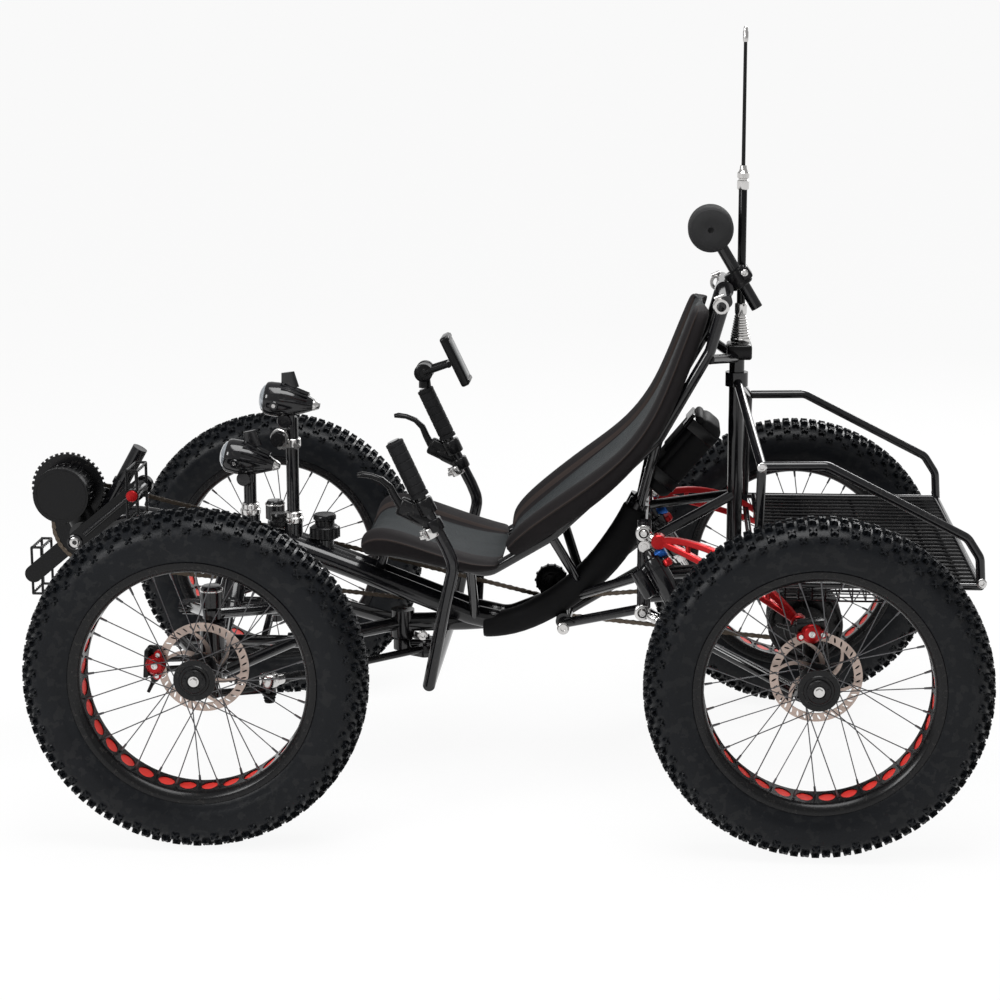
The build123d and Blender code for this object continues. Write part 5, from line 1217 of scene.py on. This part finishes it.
# Columns: wheel, heading where the chain meets it, heading where it leaves
chain_arcs = [(guide_wheel, down + math.pi, upward), (axle_wheel, upward + math.pi, back), (ring_wheel, back, down)]
chain_path = []
for number, (wheel_place, meets, leaves) in enumerate(chain_arcs):
    if number == 0:
        while leaves < meets:
            leaves += math.tau
        while leaves - meets > math.tau:
            leaves -= math.tau
    else:
        while leaves > meets:
            leaves -= math.tau
        while meets - leaves > math.tau:
            leaves += math.tau
    arc_steps = max(4, int(abs(leaves - meets) / arc_step))
    for step in range(arc_steps + 1):
        heading = meets + (leaves - meets) * step / arc_steps
        chain_path.append(wheel_place[0] + Vector((math.cos(heading), math.sin(heading))) * abs(wheel_place[1]))
chain_path.append(chain_path[0])
chain_bm = bmesh.new()
link_pitch = 12.7
stretch_left, pin_count, last_pin = 0.0, 0, None
for first, second in zip(chain_path, chain_path[1:]):
    span = (second - first).length
    while stretch_left <= span:
        pin = first.lerp(second, stretch_left / span)
        if last_pin:
            middle = (pin + last_pin) / 2
            lean = math.atan2(pin.y - last_pin.y, pin.x - last_pin.x)
            apart = 2.8 if pin_count % 2 else 1.7
            for side in (-1, 1):
                bmesh.ops.create_cone(chain_bm, cap_ends=True, segments=8, radius1=1, radius2=1, depth=1,
                                      matrix=Matrix.Translation(put(middle.x, chain_side + side * apart, middle.y))
                                      @ Matrix.Rotation(-lean, 4, "Y") @ Matrix.Rotation(math.radians(90), 4, "X")
                                      @ Matrix.Diagonal((0.0102, 0.0041, 0.0009, 1)))
        spot = put(pin.x, chain_side, pin.y)
        rod_between(chain_bm, spot - shift(0, 3.5, 0), spot + shift(0, 3.5, 0), 2.4)
        last_pin, pin_count = pin, pin_count + 1
        stretch_left += link_pitch
    stretch_left -= span
bmesh.ops.recalc_face_normals(chain_bm, faces=chain_bm.faces)
links = piece_from(chain_bm, "roller_chain", "chassis", chain_steel)
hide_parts("chain")

# Wire basket: round black wires below the deck, welded where they cross, with a thicker rim wire and a lower rim.
basket_low, basket_high = (Vector(corner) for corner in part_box("rack_basket"))
basket_low, basket_high = basket_low + shift(2, 2, 2), basket_high - shift(2, 2, 2)
basket_bm = bmesh.new()
basket_gaps = (13, 24)
for axis in (0, 1):
    for number in range(basket_gaps[axis] + 1):
        corners = [Vector(basket_low) for corner in range(4)]
        place = basket_low[axis] + (basket_high[axis] - basket_low[axis]) * number / basket_gaps[axis]
        other = 1 - axis
        for corner, (far, tall) in zip(corners, ((0, 1), (0, 0), (1, 0), (1, 1))):
            corner[axis] = place
            corner[other] = basket_high[other] if far else basket_low[other]
            corner.z = basket_high.z if tall else basket_low.z
        for start, end in zip(corners, corners[1:]):
            rod_between(basket_bm, start, end, 1.4, sides=6)
for level, wire in ((basket_high.z, 2.2), ((basket_high.z + basket_low.z) / 2, 1.5), (basket_low.z, 1.8)):
    rim = [Vector((x, y, level)) for x, y in ((basket_low.x, basket_low.y), (basket_high.x, basket_low.y),
                                              (basket_high.x, basket_high.y), (basket_low.x, basket_high.y))]
    for start, end in zip(rim, rim[1:] + rim[:1]):
        rod_between(basket_bm, start, end, wire)
basket = piece_from(basket_bm, "wire_basket", "chassis", gloss_black)
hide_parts("rack_basket")

# Differential and idler: a ribbed cast housing held by a ring of bolts between the rear wheels, and a toothed plastic
# idler with a raised hub and a bright bolt.
case_bolts, idler_teeth = 8, 14
housing_bm = bmesh.new()
for y in (-50, -34, -18, -2, 14, 30):
    turned(housing_bm, put(half_wheelbase, y, axle_height), put(half_wheelbase, y + 4, axle_height),
           [(0, 64), (0, 69), (0.8, 69.8), (3.2, 69.8), (4, 69), (4, 64), (0, 64)], sides=64)
for angle, spot in round_axle(put(half_wheelbase, -68, axle_height), 58, case_bolts):
    rod_between(housing_bm, spot + shift(0, 2, 0), spot - shift(0, 3.5, 0), 4.8, sides=6)
turned(housing_bm, put(half_wheelbase, -68, axle_height), put(half_wheelbase, -76, axle_height),
       [(0, 0), (0, 40), (2, 42), (6, 40), (7.5, 30), (7.5, 0)], sides=48)
housing = piece_from(housing_bm, "differential_ribs", "chassis", satin_black)
idler_bm = turned(bmesh.new(), put(idler_x, 47.2, idler_z), put(idler_x, 42, idler_z),
                  [(0, 0), (0, 28.5), (1.2, 29), (2, 27), (0.8, 25), (0.8, 15), (3, 13), (4.2, 12), (4.2, 0)],
                  sides=48)
for angle, spot in round_axle(put(idler_x, chain_side, idler_z), 29.5, idler_teeth):
    rod_between(idler_bm, spot - shift(0, 3, 0), spot + shift(0, 3, 0), 2.8)
idler = piece_from(idler_bm, "idler_face", "chassis", black_plastic)

# Headrest clamp: a split black collar round the headrest's post, with an ear on its rear side that the bolt draws
# together. It stands on the seat's top bar by a short stem.
collar_low, collar_high = put(407, 0, 927), put(388, 0, 955)
collar_bm = turned(bmesh.new(), collar_low, collar_high,
                   [(0, 12.5), (0, 19), (2, 21), (32, 21), (34, 19), (34, 12.5)], sides=44)
rounded_block(collar_bm, Matrix.Translation(put(410, 0, 951)) @ Matrix.Rotation(math.radians(-34), 4, "Y"),
              (20, 42, 24), 4, 3)
collar = piece_from(collar_bm, "headrest_clamp", "chassis", satin_black)
